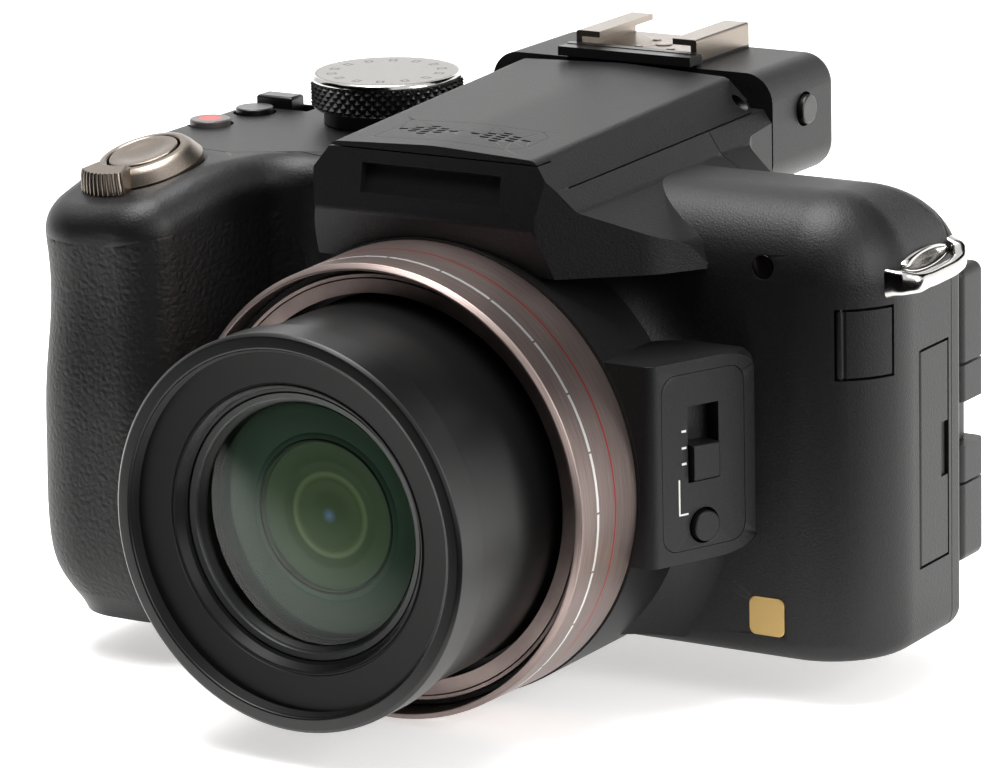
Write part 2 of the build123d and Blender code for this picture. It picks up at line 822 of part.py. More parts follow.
# Room inside the shells, and every hole and pocket in them
with BuildPart() as hollows:
    tube_y(-ring_rear - overrun, -bore_rear + base_plate, ring_bore)
    tube_y(-bore_rear, -core_step + seam, core_radius + slide_fit)
    tube_y(-core_step - overrun, core_rear + overrun, core_tail + seam)
    corner_box((-mid_left + edge_round, -overrun, room_floor), (room_right, rear_reach - wall, finder_foot + edge_round))
    corner_box(
        (panel_rear_x + wall, -front_corner, terminal_low),
        (right_reach - door_thick - wall, 0, deck_height - shoulder_radius),
    )
    corner_box((-pocket_half, hood_back, housing_radius + lens_height + wall), (pocket_half, hump_rear + overrun, far))
    corner_box(
        (battery_x - battery_wide / 2 - seam, -battery_front - seam, -overrun),
        (battery_x + battery_wide / 2 + seam, -battery_front + battery_deep + seam, battery_tall + door_thick + free_gap),
    )
    corner_box(
        (card_left - seam, card_front - seam, -overrun),
        (card_right + seam, card_front + card_deep + seam, card_tall + door_thick + free_gap),
    )
    add(bay_door_block(free_gap))
    tube_y(bay_door_front - stub_length - seam, bay_door_rear + stub_length + seam, stub_radius + pin_fit,
           x=bay_door_right - pivot_radius, z=pivot_radius)
    add(terminal_door_block(free_gap))
    post(Plane((right_reach - pivot_radius, -terminal_front + pivot_radius, 0)),
         terminal_low - stub_length - seam, terminal_high + stub_length + seam, stub_radius + pin_fit)
    add(jack_door_block(free_gap))
    post(Plane((jack_pivot[0], jack_pivot[1], 0)),
         jack_low - stub_length - seam, jack_high + stub_length + seam, stub_radius + pin_fit)
    # terminals behind the doors
    corner_box(
        (right_reach - door_thick - wall - overrun, -terminal_front + 2 * pivot_radius + seam, terminal_low + wall),
        (right_reach, terminal_rear - wall / 2, terminal_high - wall),
    )
    # zoom lever, its neck and the shutter's stem
    post(deck_plane, -lever_sink, overrun, lever_radius + free_gap)
    post(deck_plane, -lever_sink - neck_depth - seam, 0, neck_outer + pin_fit, neck_inner - pin_fit)
    post(deck_plane, -stem_depth - shutter_travel - free_gap, 0, stem_radius + pin_fit)
    # round keys
    for name, place, radius in keys:
        if name != "flash_button":
            post(place, -button_root - button_travel - free_gap, overrun, radius + free_gap)
    # mode dial
    post(deck_place(dial_x, dial_y), -edge_round - seam, overrun, dial_shaft + pin_fit)
    post(deck_place(dial_x, dial_y), 0, far, dial_collar + free_gap)
    post(deck_place(dial_x, dial_y), dial_top - dial_tall - deck_height - free_gap, far, dial_radius + free_gap)
    # power slider
    corner_box(
        (power_x - power_long / 2 - free_gap, power_y - power_wide / 2 - free_gap, deck_height - button_root),
        (power_x + power_long / 2 + slider_travel + free_gap, power_y + power_wide / 2 + free_gap, far),
    )
    # rear dial
    post(Plane((rear_dial_x, rear_dial_y, rear_dial_z)), -rear_dial_tall / 2 - free_gap,
         rear_dial_tall / 2 + free_gap, rear_dial_radius + free_gap)
    post(Plane((rear_dial_x, rear_dial_y, rear_dial_z)), -rear_dial_tall / 2 - axle_stub - seam,
         rear_dial_tall / 2 + axle_stub + seam, axle_radius + pin_fit)
    # cursor pad
    post(rear_place(pad_x, pad_z), -button_root - button_travel - free_gap, overrun, pad_radius + free_gap)
    # thumb rest
    corner_box((-thumb_left, thumb_reach - rubber_skin, thumb_low), (-thumb_right, thumb_reach + overrun, thumb_high))
    # focus panel, its switch and its key
    with BuildSketch(panel_plane.offset(-panel_plate)):
        with Locations((0, (panel_low + panel_high) / 2)):
            RectangleRounded(
                panel_long - 2 * panel_margin, panel_high - panel_low - 2 * panel_margin, panel_round
            )
    extrude(amount=overrun)
    with BuildSketch(slider_middle.offset(-button_root - seam)):
        with Locations((0, slider_travel)):
            Rectangle(slider_wide + 2 * free_gap, slider_long + 2 * slider_travel + 2 * free_gap)
    extrude(amount=overrun)
    # bare name field, lamp window, badge, tripod socket and screws
    with BuildSketch(hood_plane.offset(-name_thick)):
        Rectangle(2 * name_half, name_tall)
    extrude(amount=overrun)
    tube_y(-front_reach - overrun, -front_reach + overrun, lamp_radius + seam / 3, x=lamp_x, z=lamp_z)
    with BuildSketch(Plane((badge_x, -front_reach + badge_thick, badge_z), x_dir=(1, 0, 0), z_dir=(0, -1, 0))):
        RectangleRounded(badge_side + seam, badge_side + seam, badge_round)
    extrude(amount=overrun)
    post(Plane.XY, -overrun, socket_wall, socket_flange + slide_fit)
    post(Plane.XY, 0, socket_depth + socket_wall, socket_radius + socket_wall + slide_fit)
    for x, y in screw_places:
        post(Plane((x, y, 0)), -overrun, screw_length / 3, screw_radius + slide_fit)
        post(Plane((x, y, 0)), 0, screw_length, screw_radius / 2 + slide_fit)
    # relief for the screen's edge as it swings out
    post(Plane((hinge_x, hinge_y, 0)), screen_low - free_gap, screen_high + free_gap,
         screen_thick / 2 + 4 * free_gap)


rubber = rubber_block()

# Covers
with BuildPart() as front_shell:
    add(form.part)
    split(bisect_by=Plane.XZ.offset(-parting_reach), keep=Keep.TOP)
    add(hollows.part, mode=Mode.SUBTRACT)
    add(lid_region(far, 0), mode=Mode.SUBTRACT)
    add(deck_region(0), mode=Mode.SUBTRACT)
    add(rubber, mode=Mode.SUBTRACT)
keep(front_shell, "front_shell")

with BuildPart() as rear_shell:
    add(form.part)
    split(bisect_by=Plane.XZ.offset(-parting_reach - seam), keep=Keep.BOTTOM)
    add(hollows.part, mode=Mode.SUBTRACT)
    add(lid_region(far, 0), mode=Mode.SUBTRACT)
    add(deck_region(0), mode=Mode.SUBTRACT)
    # ears that hold the flash lid's pin
    for side in (-1, 1):
        with BuildSketch(Plane((side * (pocket_half - flash_ear_thick / 2), 0, 0), x_dir=(0, 1, 0), z_dir=(1, 0, 0))):
            with Locations((flash_pin_reach, flash_pin_height)):
                Circle(flash_ear)
            with Locations((flash_pin_reach, (flash_pin_height + finder_foot + edge_round) / 2)):
                Rectangle(2 * flash_ear, flash_pin_height - finder_foot - edge_round)
        extrude(amount=(flash_ear_thick + seam) / 2, both=True)
    # tongue that carries the screen's upright pin
    with BuildSketch(Plane.XY.offset(tongue_low)):
        with Locations((hinge_x, hinge_y)):
            Circle(tongue_radius)
        with Locations((hinge_x, (hinge_y + rear_reach - edge_round) / 2)):
            Rectangle(2 * tongue_radius, hinge_y - rear_reach + edge_round)
    extrude(amount=tongue_high - tongue_low)
    post(Plane((hinge_x, hinge_y, 0)), hinge_low + wall + seam, hinge_high - wall - seam, hinge_pin)
    with BuildSketch(Plane((0, flash_pin_reach, flash_pin_height), x_dir=(0, 1, 0), z_dir=(1, 0, 0))):
        Circle(flash_pin)
    extrude(amount=pocket_half - seam, both=True)
keep(rear_shell, "rear_shell")

with BuildPart() as top_cover:
    add(form.part)
    add(deck_region(seam), mode=Mode.INTERSECT)
    add(hollows.part, mode=Mode.SUBTRACT)
keep(top_cover, "top_cover")

with BuildPart() as grip_rubber:
    add(rubber)
    split(bisect_by=Plane.XZ.offset(-rubber_rear + seam), keep=Keep.TOP)
keep(grip_rubber, "grip_rubber")

with BuildPart() as thumb_rest:
    corner_box(
        (-thumb_left + seam, thumb_reach - rubber_skin, thumb_low + seam),
        (-thumb_right - seam, thumb_reach + rubber_skin / 2, thumb_high - seam),
    )
    fillet(thumb_rest.faces().sort_by(Axis.Y)[-1].edges(), rubber_skin / 2)
keep(thumb_rest, "thumb_rest")

with BuildPart() as badge_plate:
    with BuildSketch(Plane((badge_x, -front_reach + badge_thick, badge_z), x_dir=(1, 0, 0), z_dir=(0, -1, 0))):
        RectangleRounded(badge_side, badge_side, badge_round)
    extrude(amount=badge_thick + seam)
keep(badge_plate, "badge_plate")

with BuildPart() as lamp_window:
    tube_y(-front_reach + lens_round, -front_reach + overrun, lamp_radius, x=lamp_x, z=lamp_z)
keep(lamp_window, "af_lamp_window")

with BuildPart() as tripod_socket:
    post(Plane.XY, 0, socket_wall, socket_flange)
    post(Plane.XY, 0, socket_depth + socket_wall, socket_radius + socket_wall)
    post(Plane.XY, 0, socket_depth, socket_radius, mode=Mode.SUBTRACT)
keep(tripod_socket, "tripod_socket")

with BuildPart() as case_screws:
    for x, y in screw_places:
        post(Plane((x, y, 0)), seam, screw_length / 3, screw_radius)
        post(Plane((x, y, 0)), seam, screw_length, screw_radius / 2)
        corner_box((x - screw_radius, y - lens_round / 2, 0), (x + screw_radius, y + lens_round / 2, lens_round),
                   mode=Mode.SUBTRACT)
keep(case_screws, "case_screws")


def lug_block(side):
    """A strap lug: a bent bar standing off the side of the body."""
    edge = side * (right_reach if side > 0 else left_reach - grip_foot / 3)
    inner = edge - side * edge_round
    outer = edge + side * lug_out
    with BuildPart() as block:
        with BuildSketch(Plane.XY.offset(lug_low)):
            outline(
                [(inner, -lug_front), (edge, -lug_front), (outer, -lug_front + lug_out), (outer, lug_rear - lug_out),
                 (edge, lug_rear), (inner, lug_rear)],
                [0, edge_round, lug_bar, lug_bar, edge_round, 0],
            )
            with BuildLine() as gap:
                FilletPolyline(
                    (inner - side, -lug_front + lug_bar), (edge, -lug_front + lug_bar),
                    (outer - side * lug_bar, -lug_front + lug_out + lug_bar / 2),
                    (outer - side * lug_bar, lug_rear - lug_out - lug_bar / 2), (edge, lug_rear - lug_bar),
                    (inner - side, lug_rear - lug_bar),
                    radius=[0, lens_round, lug_bar / 2, lug_bar / 2, lens_round, 0], close=True,
                )
            make_face(gap.edges(), mode=Mode.SUBTRACT)
        extrude(amount=lug_tall)
        add(form.part, mode=Mode.SUBTRACT)
        add(rubber, mode=Mode.SUBTRACT)
    return block.part


with BuildPart() as strap_lugs:
    add(lug_block(1))
    add(lug_block(-1))
keep(strap_lugs, "strap_lugs")

# Fixed part of the lens
with BuildPart() as lens_ring:
    with BuildSketch(Plane.XY.offset(lens_height)):
        with BuildLine():
            Polyline(
                (ring_bore, -ring_front), (ring_radius - lip_chamfer, -ring_front),
                (ring_radius, -ring_front + lip_chamfer), (ring_radius + ring_flare, -ring_rear - lens_round),
                (ring_radius, -ring_rear), (ring_bore, -ring_rear), (ring_bore, -ring_front),
            )
        make_face()
    revolve(axis=Axis((0, 0, lens_height), (0, 1, 0)))
keep(lens_ring, "lens_ring")

with BuildPart() as lens_base:
    tube_y(-bore_rear, -bore_rear + base_plate, ring_bore - slide_fit, group_radius / 2)
    tube_y(-bore_rear, -core_step, core_radius, core_radius - core_wall)
    tube_y(-core_step - core_wall, -core_step, core_radius, core_tail - core_wall)
    tube_y(-core_step, core_rear, core_tail, core_tail - core_wall)
    # shutter and iris housing
    tube_y(-bore_rear - core_wall, -bore_rear, group_radius + base_plate, group_radius / 2)
    # guide rods of the moving groups
    for side in (-1, 1):
        tube_y(-stage_reach + stage_lip + base_plate + 2 * core_wall + overrun, -core_step - core_wall, rod_radius,
               x=side * rod_place)
keep(lens_base, "lens_base")

def around_lens(radius, turn, y):
    """A plane on the lens axis, facing outward at an angle seen from the front."""
    return Plane(
        (radius * cos(radians(turn)), y, lens_height + radius * sin(radians(turn))),
        x_dir=(0, 1, 0),
        z_dir=(cos(radians(turn)), 0, sin(radians(turn))),
    )


follower_turns = [90 + 360 * n / follower_count for n in range(follower_count)]
slot_clear = follower_radius + 2 * slide_fit
cam_end_share = follower_radius / zoom_travel
cam_slot_half = slot_clear / cos(atan2(zoom_travel, cam_outer * radians(cam_turn)))

with BuildPart() as guide_tube:
    tube_y(-stage_reach + stage_wall + seam, -bore_rear, guide_outer, guide_bore)
    for turn in follower_turns:
        with BuildSketch(around_lens(guide_bore - stage_wall, turn, follower_y - zoom_travel / 2)):
            SlotOverall(zoom_travel + 2 * slot_clear, 2 * slot_clear)
        extrude(amount=3 * stage_wall, mode=Mode.SUBTRACT)
keep(guide_tube, "lens_guide_tube")

with BuildPart() as cam_ring:
    tube_y(-cam_front, -cam_rear, cam_outer, cam_bore)
    for turn in follower_turns:
        # each slot follows the cam's helix, in flat-sided steps, from one follower end to the other
        sections = []
        shares = [-cam_end_share] + [step / cam_steps for step in range(cam_steps + 1)] + [1 + cam_end_share]
        for share in shares:
            place = around_lens(cam_bore - cam_wall, turn - cam_turn * share, follower_y - zoom_travel * share)
            sections.append(Wire([
                Edge.make_line(
                    place.from_local_coords(Vector(a * cam_slot_half, 0, b)),
                    place.from_local_coords(Vector(c * cam_slot_half, 0, d)),
                )
                for a, b, c, d in (
                    (-1, 0, 1, 0), (1, 0, 1, 3 * cam_wall), (1, 3 * cam_wall, -1, 3 * cam_wall),
                    (-1, 3 * cam_wall, -1, 0),
                )
            ]))
        add(Solid.make_loft(sections, ruled=True), mode=Mode.SUBTRACT)
keep(cam_ring, "cam_ring")

with BuildPart() as middle_barrel:
    tube_y(-stage_reach, -stage_rear, stage_outer, stage_bore)
    tube_y(-stage_reach, -stage_reach + stage_wall, stage_outer, stage_outer - stage_lip)
    for turn in follower_turns:
        post(around_lens(stage_bore + stage_wall / 2, turn, follower_y), 0,
             cam_outer - stage_bore - stage_wall / 2 - 3 * slide_fit, follower_radius)
keep(middle_barrel, "middle_barrel")

with BuildPart() as front_barrel:
    with BuildSketch(Plane.XY.offset(lens_height)):
        with BuildLine():
            Polyline(
                (thread_radius, -barrel_reach + lens_round / 2), (thread_radius + lens_round / 2, -barrel_reach),
                (rim_radius - lens_round, -barrel_reach), (rim_radius, -barrel_reach + lens_round),
                (rim_radius, -barrel_reach + rim_length), (barrel_radius - groove_depth, -barrel_reach + rim_length),
                (barrel_radius - groove_depth, -barrel_reach + rim_length + groove_width),
                (barrel_radius, -barrel_reach + rim_length + groove_width),
                (barrel_radius, -barrel_rear - flange_length),
                (flange_radius, -barrel_rear - flange_length), (flange_radius, -barrel_rear),
                (barrel_radius - barrel_wall, -barrel_rear), (barrel_radius - barrel_wall, -barrel_reach + thread_depth),
                (thread_radius, -barrel_reach + thread_depth), (thread_radius, -barrel_reach + lens_round / 2),
            )
        make_face()
    revolve(axis=Axis((0, 0, lens_height), (0, 1, 0)))
keep(front_barrel, "front_barrel")

cell_front = -barrel_reach + thread_depth
cone_rear = cell_front + cone_depth
glass_rear = cone_rear + glass_edge
cell_outer = barrel_radius - barrel_wall - slide_fit

with BuildPart() as front_cell:
    with BuildSketch(Plane.XY.offset(lens_height)):
        with BuildLine():
            Polyline(
                (thread_radius - slide_fit - name_width, cell_front + name_thick), (cell_outer, cell_front + name_thick),
                (cell_outer, glass_rear), (glass_radius - base_plate, glass_rear),
                (glass_radius - base_plate, glass_rear - lens_round), (glass_radius, glass_rear - lens_round),
                (glass_radius, cone_rear), (thread_radius - slide_fit - name_width, cell_front + name_thick),
            )
        make_face()
    revolve(axis=Axis((0, 0, lens_height), (0, 1, 0)))
    # the name ring in front, left bare
    tube_y(cell_front, cell_front + name_thick, thread_radius - slide_fit, thread_radius - slide_fit - name_width)
keep(front_cell, "front_lens_cell")

def lens_disc(front, rear, radius, crown_height):
    """A glass element with a domed front face."""
    sphere_radius = (radius ** 2 + crown_height ** 2) / (2 * crown_height)
    with BuildPart() as block:
        tube_y(front - crown_height, rear, radius)
        with Locations((0, front - crown_height + sphere_radius, lens_height)):
            Sphere(sphere_radius, mode=Mode.INTERSECT)
    return block.part


with BuildPart() as front_element:
    add(lens_disc(cone_rear, glass_rear - lens_round, glass_radius - slide_fit, glass_crown))
keep(front_element, "front_element")

zoom_front = -stage_reach + stage_lip + base_plate + 2 * core_wall + overrun + lens_round
zoom_long = 2 * overrun
with BuildPart() as zoom_group:
    tube_y(zoom_front, zoom_front + zoom_long, group_radius, group_radius - rod_radius * 5)
    tube_y(zoom_front + overrun, zoom_front + zoom_long - lens_round, group_radius - rod_radius * 4)
    for side in (-1, 1):
        tube_y(zoom_front - overrun, zoom_front + 2 * zoom_long, rod_radius + pin_fit, x=side * rod_place,
               mode=Mode.SUBTRACT)
keep(zoom_group, "zoom_group")

with BuildPart() as focus_group:
    tube_y(-bore_rear + base_plate + button_root, -bore_rear + base_plate + button_root + core_wall * 3,
           group_radius, group_radius - rod_radius * 5)
    tube_y(-bore_rear + base_plate + button_root + core_wall, -bore_rear + base_plate + button_root + 2 * core_wall,
           group_radius - rod_radius * 4)
    for side in (-1, 1):
        tube_y(-bore_rear, 0, rod_radius + pin_fit, x=side * rod_place, mode=Mode.SUBTRACT)
keep(focus_group, "focus_group")

with BuildPart() as image_sensor:
    corner_box(
        (-core_tail, core_rear, lens_height - core_tail), (core_tail, core_rear + core_wall, lens_height + core_tail)
    )
    corner_box(
        (-sensor_width / 2, core_rear - lens_round, lens_height - sensor_tall / 2),
        (sensor_width / 2, core_rear, lens_height + sensor_tall / 2),
    )
keep(image_sensor, "image_sensor")

board_front = core_rear + core_wall
with BuildPart() as main_board:
    corner_box(
        (-mid_left + 2 * edge_round, board_front, room_floor + seam),
        (room_right - seam, board_front + board_thick, finder_foot),
    )
    for x in (-core_radius, core_radius):
        for z in (room_floor + overrun, finder_foot - overrun):
            tube_y(board_front, rear_reach - wall, screw_radius, x=x, z=z)
keep(main_board, "main_board")

# Flash
with BuildPart() as flash_lid:
    add(hump_block())
    add(hump_block(lid_wall), mode=Mode.SUBTRACT)
    add(lid_region(lid_rear, free_gap / 2), mode=Mode.INTERSECT)
    corner_box((-far, lid_rear, 0), (far, far, far), mode=Mode.SUBTRACT)
    post(deck_place(dial_x, dial_y), 0, far, dial_radius + free_gap, mode=Mode.SUBTRACT)
    # knuckle between the ears
    with BuildPart(mode=Mode.PRIVATE) as knuckle:
        corner_box(
            (-pocket_half + flash_ear_thick + free_gap, flash_pin_reach - flash_ear, flash_pin_height - flash_ear),
            (pocket_half - flash_ear_thick - free_gap, lid_rear, hump_top_rear + crown),
        )
        add(hump_block(lid_wall / 2), mode=Mode.INTERSECT)
    add(knuckle.part)
    with BuildSketch(Plane((0, flash_pin_reach, flash_pin_height), x_dir=(0, 1, 0), z_dir=(1, 0, 0))):
        Circle(flash_pin + pin_fit)
    extrude(amount=far, both=True, mode=Mode.SUBTRACT)
    # its lower rear corners are round about the pin and clear the rear cover as the lid rises
    with BuildSketch(side_view):
        with Locations((flash_pin_reach + flash_ear, flash_pin_height - flash_ear)):
            Rectangle(2 * flash_ear, 2 * flash_ear)
        with Locations((flash_pin_reach, flash_pin_height)):
            Circle(flash_ear, mode=Mode.SUBTRACT)
    extrude(amount=2 * far, mode=Mode.SUBTRACT)
    # seat for the microphone plate
    with BuildSketch(Plane.XY.offset(hood_lip_height)):
        outline(
            [(-mic_half, mic_rear * -1), (-mic_half, -mic_front), (mic_half - slot_pitch, -mic_front),
             (mic_half, -mic_front + slot_pitch), (mic_half, -mic_rear - slot_pitch), (mic_half - slot_pitch, -mic_rear)],
            [lens_round, lens_round, lens_round, lens_round, lens_round, lens_round],
        )
    seat = extrude(amount=far, mode=Mode.PRIVATE)
    add(seat - hump_block(mic_plate_thick), mode=Mode.SUBTRACT)
keep(flash_lid, "flash_lid")

with BuildPart() as mic_plate:
    with BuildSketch(Plane.XY.offset(hood_lip_height)):
        outline(
            [(-mic_half, mic_rear * -1), (-mic_half, -mic_front), (mic_half - slot_pitch, -mic_front),
             (mic_half, -mic_front + slot_pitch), (mic_half, -mic_rear - slot_pitch), (mic_half - slot_pitch, -mic_rear)],
            [lens_round, lens_round, lens_round, lens_round, lens_round, lens_round],
        )
        offset(amount=-slide_fit)
        # two diamonds of sound slots
        for side in (-1, 1):
            for row in range(-2, 3):
                for column in range(abs(row) - 2, 3 - abs(row)):
                    with Locations((side * mic_half / 2 + column * slot_pitch,
                                    -(mic_front + mic_rear) / 2 + row * slot_pitch / 2)):
                        SlotOverall(slot_long, slot_wide, mode=Mode.SUBTRACT)
    extrude(amount=far)
    add(hump_block(), mode=Mode.INTERSECT)
    add(hump_block(mic_plate_thick), mode=Mode.SUBTRACT)
keep(mic_plate, "mic_plate")

with BuildPart() as flash_reflector:
    corner_box((-flash_half, -flash_front, flash_low), (flash_half, -flash_front + flash_deep, hump_top_rear + crown))
    add(hump_block(lid_wall), mode=Mode.INTERSECT)
    with BuildSketch(Plane((0, -flash_front, flash_low + flash_tall / 2 + window_thick), x_dir=(1, 0, 0), z_dir=(0, -1, 0))):
        Rectangle(2 * flash_half - 2 * window_thick, flash_tall)
    extrude(amount=-flash_deep + window_thick, taper=12, mode=Mode.SUBTRACT)
keep(flash_reflector, "flash_reflector")

with BuildPart() as flash_window:
    with BuildSketch(Plane((0, -flash_front, flash_low + flash_tall / 2 + window_thick), x_dir=(1, 0, 0), z_dir=(0, -1, 0))):
        Rectangle(2 * flash_half - 2 * window_thick - 4 * slide_fit, flash_tall - 4 * slide_fit)
    extrude(amount=-window_thick, taper=12)
keep(flash_window, "flash_window")

# Viewfinder and hot shoe
eye_z = (finder_foot + finder_top) / 2
with BuildPart() as finder_housing:
    corner_box((-finder_half, finder_front, finder_foot), (finder_half, finder_rear, finder_top))
    fillet(finder_housing.faces().sort_by(Axis.Z)[-1].edges().filter_by(Axis.Y), finder_round)
    fillet(finder_housing.faces().sort_by(Axis.Z)[0].edges().filter_by(Axis.Y), finder_round)
    fillet(finder_housing.faces().sort_by(Axis.Y)[-1].edges(), edge_round)
    corner_box(
        (-eye_half - edge_round, finder_front + wall, eye_z - eye_tall), (eye_half + edge_round, finder_rear + overrun, eye_z + eye_tall),
        mode=Mode.SUBTRACT,
    )
    for name, place, radius in keys:
        if name == "flash_button":
            post(place, -button_root - button_travel - free_gap, overrun, radius + free_gap, mode=Mode.SUBTRACT)
    with BuildSketch(Plane((-finder_half, (finder_front + finder_rear) / 2, eye_z), x_dir=(0, 1, 0), z_dir=(-1, 0, 0))):
        Circle(diopter_radius + free_gap)
    extrude(amount=-diopter_thick, mode=Mode.SUBTRACT)
    with BuildSketch(Plane((-finder_half, (finder_front + finder_rear) / 2, eye_z), x_dir=(0, 1, 0), z_dir=(-1, 0, 0))):
        Circle(axle_radius + pin_fit)
    extrude(amount=-diopter_thick - axle_stub - seam, mode=Mode.SUBTRACT)
    # feet into the rear shell
    for side in (-1, 1):
        corner_box(
            (side * (pocket_half + wall) - wall / 2, hump_rear, eye_z - edge_round),
            (side * (pocket_half + wall) + wall / 2, finder_front + seam, eye_z),
        )
keep(finder_housing, "finder_housing")

with BuildPart() as eyecup:
    corner_box(
        (-finder_half + eyecup_inset, finder_rear, finder_foot + eyecup_inset),
        (finder_half - eyecup_inset, finder_rear + eyecup_depth, finder_top - eyecup_inset),
    )
    fillet(eyecup.edges().filter_by(Axis.Y), finder_round)
    fillet(eyecup.faces().sort_by(Axis.Y)[-1].edges(), eyecup_depth / 2)
    corner_box(
        (-eye_half, finder_rear - overrun, eye_z - eye_tall / 2 - edge_round), (eye_half, finder_rear + overrun, eye_z + eye_tall / 2 + edge_round),
        mode=Mode.SUBTRACT,
    )
keep(eyecup, "eyecup")

with BuildPart() as finder_lens:
    corner_box(
        (-eye_half - edge_round, finder_rear - edge_round, eye_z - eye_tall), (eye_half + edge_round, finder_rear - lens_round, eye_z + eye_tall)
    )
keep(finder_lens, "finder_lens")

with BuildPart() as diopter_dial:
    with BuildSketch(Plane((-finder_half + diopter_thick - seam, (finder_front + finder_rear) / 2, eye_z), x_dir=(0, 1, 0), z_dir=(-1, 0, 0))):
        Circle(diopter_radius)
        with PolarLocations(diopter_radius, 24):
            Circle(flute, mode=Mode.SUBTRACT)
    extrude(amount=diopter_thick + lens_round)
    with BuildSketch(Plane((-finder_half + diopter_thick - seam, (finder_front + finder_rear) / 2, eye_z), x_dir=(0, 1, 0), z_dir=(-1, 0, 0))):
        Circle(axle_radius)
    extrude(amount=-axle_stub)
keep(diopter_dial, "diopter_dial")

with BuildPart() as hot_shoe_base:
    corner_box((-shoe_half, shoe_front, shoe_foot), (shoe_half, shoe_rear - edge_round, shoe_foot + shoe_floor / 2))
    with BuildSketch(Plane.XY.offset(shoe_foot)):
        with Locations((0, shoe_front + shoe_bar / 2)):
            RectangleRounded(2 * shoe_half + edge_round, shoe_bar, lens_round)
    extrude(amount=edge_round)
    with BuildSketch(Plane.XY.offset(shoe_foot + lens_round)):
        with Locations((0, (lid_rear + shoe_front + shoe_bar) / 2)):
            Rectangle(2 * shoe_half + edge_round, shoe_front + shoe_bar - lid_rear)
    extrude(amount=shoe_bar)
keep(hot_shoe_base, "hot_shoe_base")

rail_foot = shoe_foot + shoe_floor / 2
with BuildPart() as hot_shoe_rails:
    with BuildSketch(Plane((0, shoe_front + shoe_bar, 0), x_dir=(1, 0, 0), z_dir=(0, -1, 0))):
        with BuildLine() as path:
            FilletPolyline(
                (-shoe_half, rail_foot), (-shoe_half, rail_foot + shoe_floor / 2 + shoe_gap + rail_thick),
                (-shoe_slot / 2, rail_foot + shoe_floor / 2 + shoe_gap + rail_thick),
                (-shoe_slot / 2, rail_foot + shoe_floor / 2 + shoe_gap),
                (-shoe_inner, rail_foot + shoe_floor / 2 + shoe_gap), (-shoe_inner, rail_foot + shoe_floor / 2),
                (shoe_inner, rail_foot + shoe_floor / 2), (shoe_inner, rail_foot + shoe_floor / 2 + shoe_gap),
                (shoe_slot / 2, rail_foot + shoe_floor / 2 + shoe_gap),
                (shoe_slot / 2, rail_foot + shoe_floor / 2 + shoe_gap + rail_thick),
                (shoe_half, rail_foot + shoe_floor / 2 + shoe_gap + rail_thick), (shoe_half, rail_foot),
                radius=[0, rail_thick / 2, 0, 0, 0, 0, 0, 0, 0, 0, rail_thick / 2, 0], close=True,
            )
        make_face(path.edges())
    extrude(amount=-(shoe_rear - edge_round - shoe_front - shoe_bar))
    # centre contact and four small ones
    with BuildSketch(Plane.XY.offset(shoe_foot + shoe_floor)):
        with Locations((0, (shoe_front + shoe_rear) / 2)):
            Circle(screw_radius)
            with PolarLocations(3 * screw_radius, 4, start_angle=45):
                Circle(screw_radius / 2)
    extrude(amount=seam)
keep(hot_shoe_rails, "hot_shoe_rails")

# Screen
with BuildPart() as screen_frame:
    corner_box((-screen_left, screen_front, screen_low), (screen_right, screen_rear, screen_high))
    fillet(screen_frame.edges(), lug_bar)
    corner_box(
        (hinge_left - free_gap, screen_front - overrun, hinge_low - free_gap),
        (screen_right + overrun, screen_rear + overrun, hinge_high + free_gap), mode=Mode.SUBTRACT,
    )
    glass_middle = ((hinge_left - screen_left) / 2, screen_rear, (screen_low + screen_high) / 2)
    with Locations(tuple(glass_middle)):
        Box(screen_glass_wide, 2 * screen_glass_thick, screen_glass_tall, mode=Mode.SUBTRACT)
    with BuildSketch(Plane((hinge_left - overrun, hinge_y, (hinge_low + hinge_high) / 2), x_dir=(0, 1, 0), z_dir=(1, 0, 0))):
        Circle(tilt_pin)
    extrude(amount=2 * overrun, mode=Mode.SUBTRACT)
keep(screen_frame, "screen_frame")

with BuildPart() as screen_glass:
    with Locations((glass_middle[0], glass_middle[1] - screen_glass_thick / 2, glass_middle[2])):
        Box(screen_glass_wide - 2 * slide_fit, screen_glass_thick, screen_glass_tall - 2 * slide_fit)
keep(screen_glass, "screen_glass")

with BuildPart() as screen_hinge:
    corner_box((hinge_left, screen_front, hinge_low), (screen_right, screen_rear, hinge_high))
    fillet(screen_hinge.faces().sort_by(Axis.X)[-1].edges().filter_by(Axis.Z), lug_bar)
    corner_box(
        (hinge_x - tongue_radius - free_gap, 0, tongue_low - free_gap / 2), (far, far, tongue_high + free_gap / 2), mode=Mode.SUBTRACT
    )
    post(Plane((hinge_x, hinge_y, 0)), hinge_low + wall, hinge_high - wall, hinge_pin + pin_fit, mode=Mode.SUBTRACT)
    with BuildSketch(Plane((hinge_left - overrun, hinge_y, (hinge_low + hinge_high) / 2), x_dir=(0, 1, 0), z_dir=(1, 0, 0))):
        Circle(tilt_pin)
    extrude(amount=overrun + lens_round)
keep(screen_hinge, "screen_hinge_block")

# Controls
with BuildPart() as shutter_button:
    add(key_block(deck_plane, lens_round, lever_tall - lever_sink + shutter_rise, shutter_radius, lens_round / 2))
    post(deck_plane, -stem_depth, lens_round, stem_radius)
    dish = shutter_radius * 3
    with Locations(deck_plane.offset(lever_tall - lever_sink + shutter_rise + dish - dish_depth)):
        Sphere(dish, mode=Mode.SUBTRACT)
keep(shutter_button, "shutter_button")

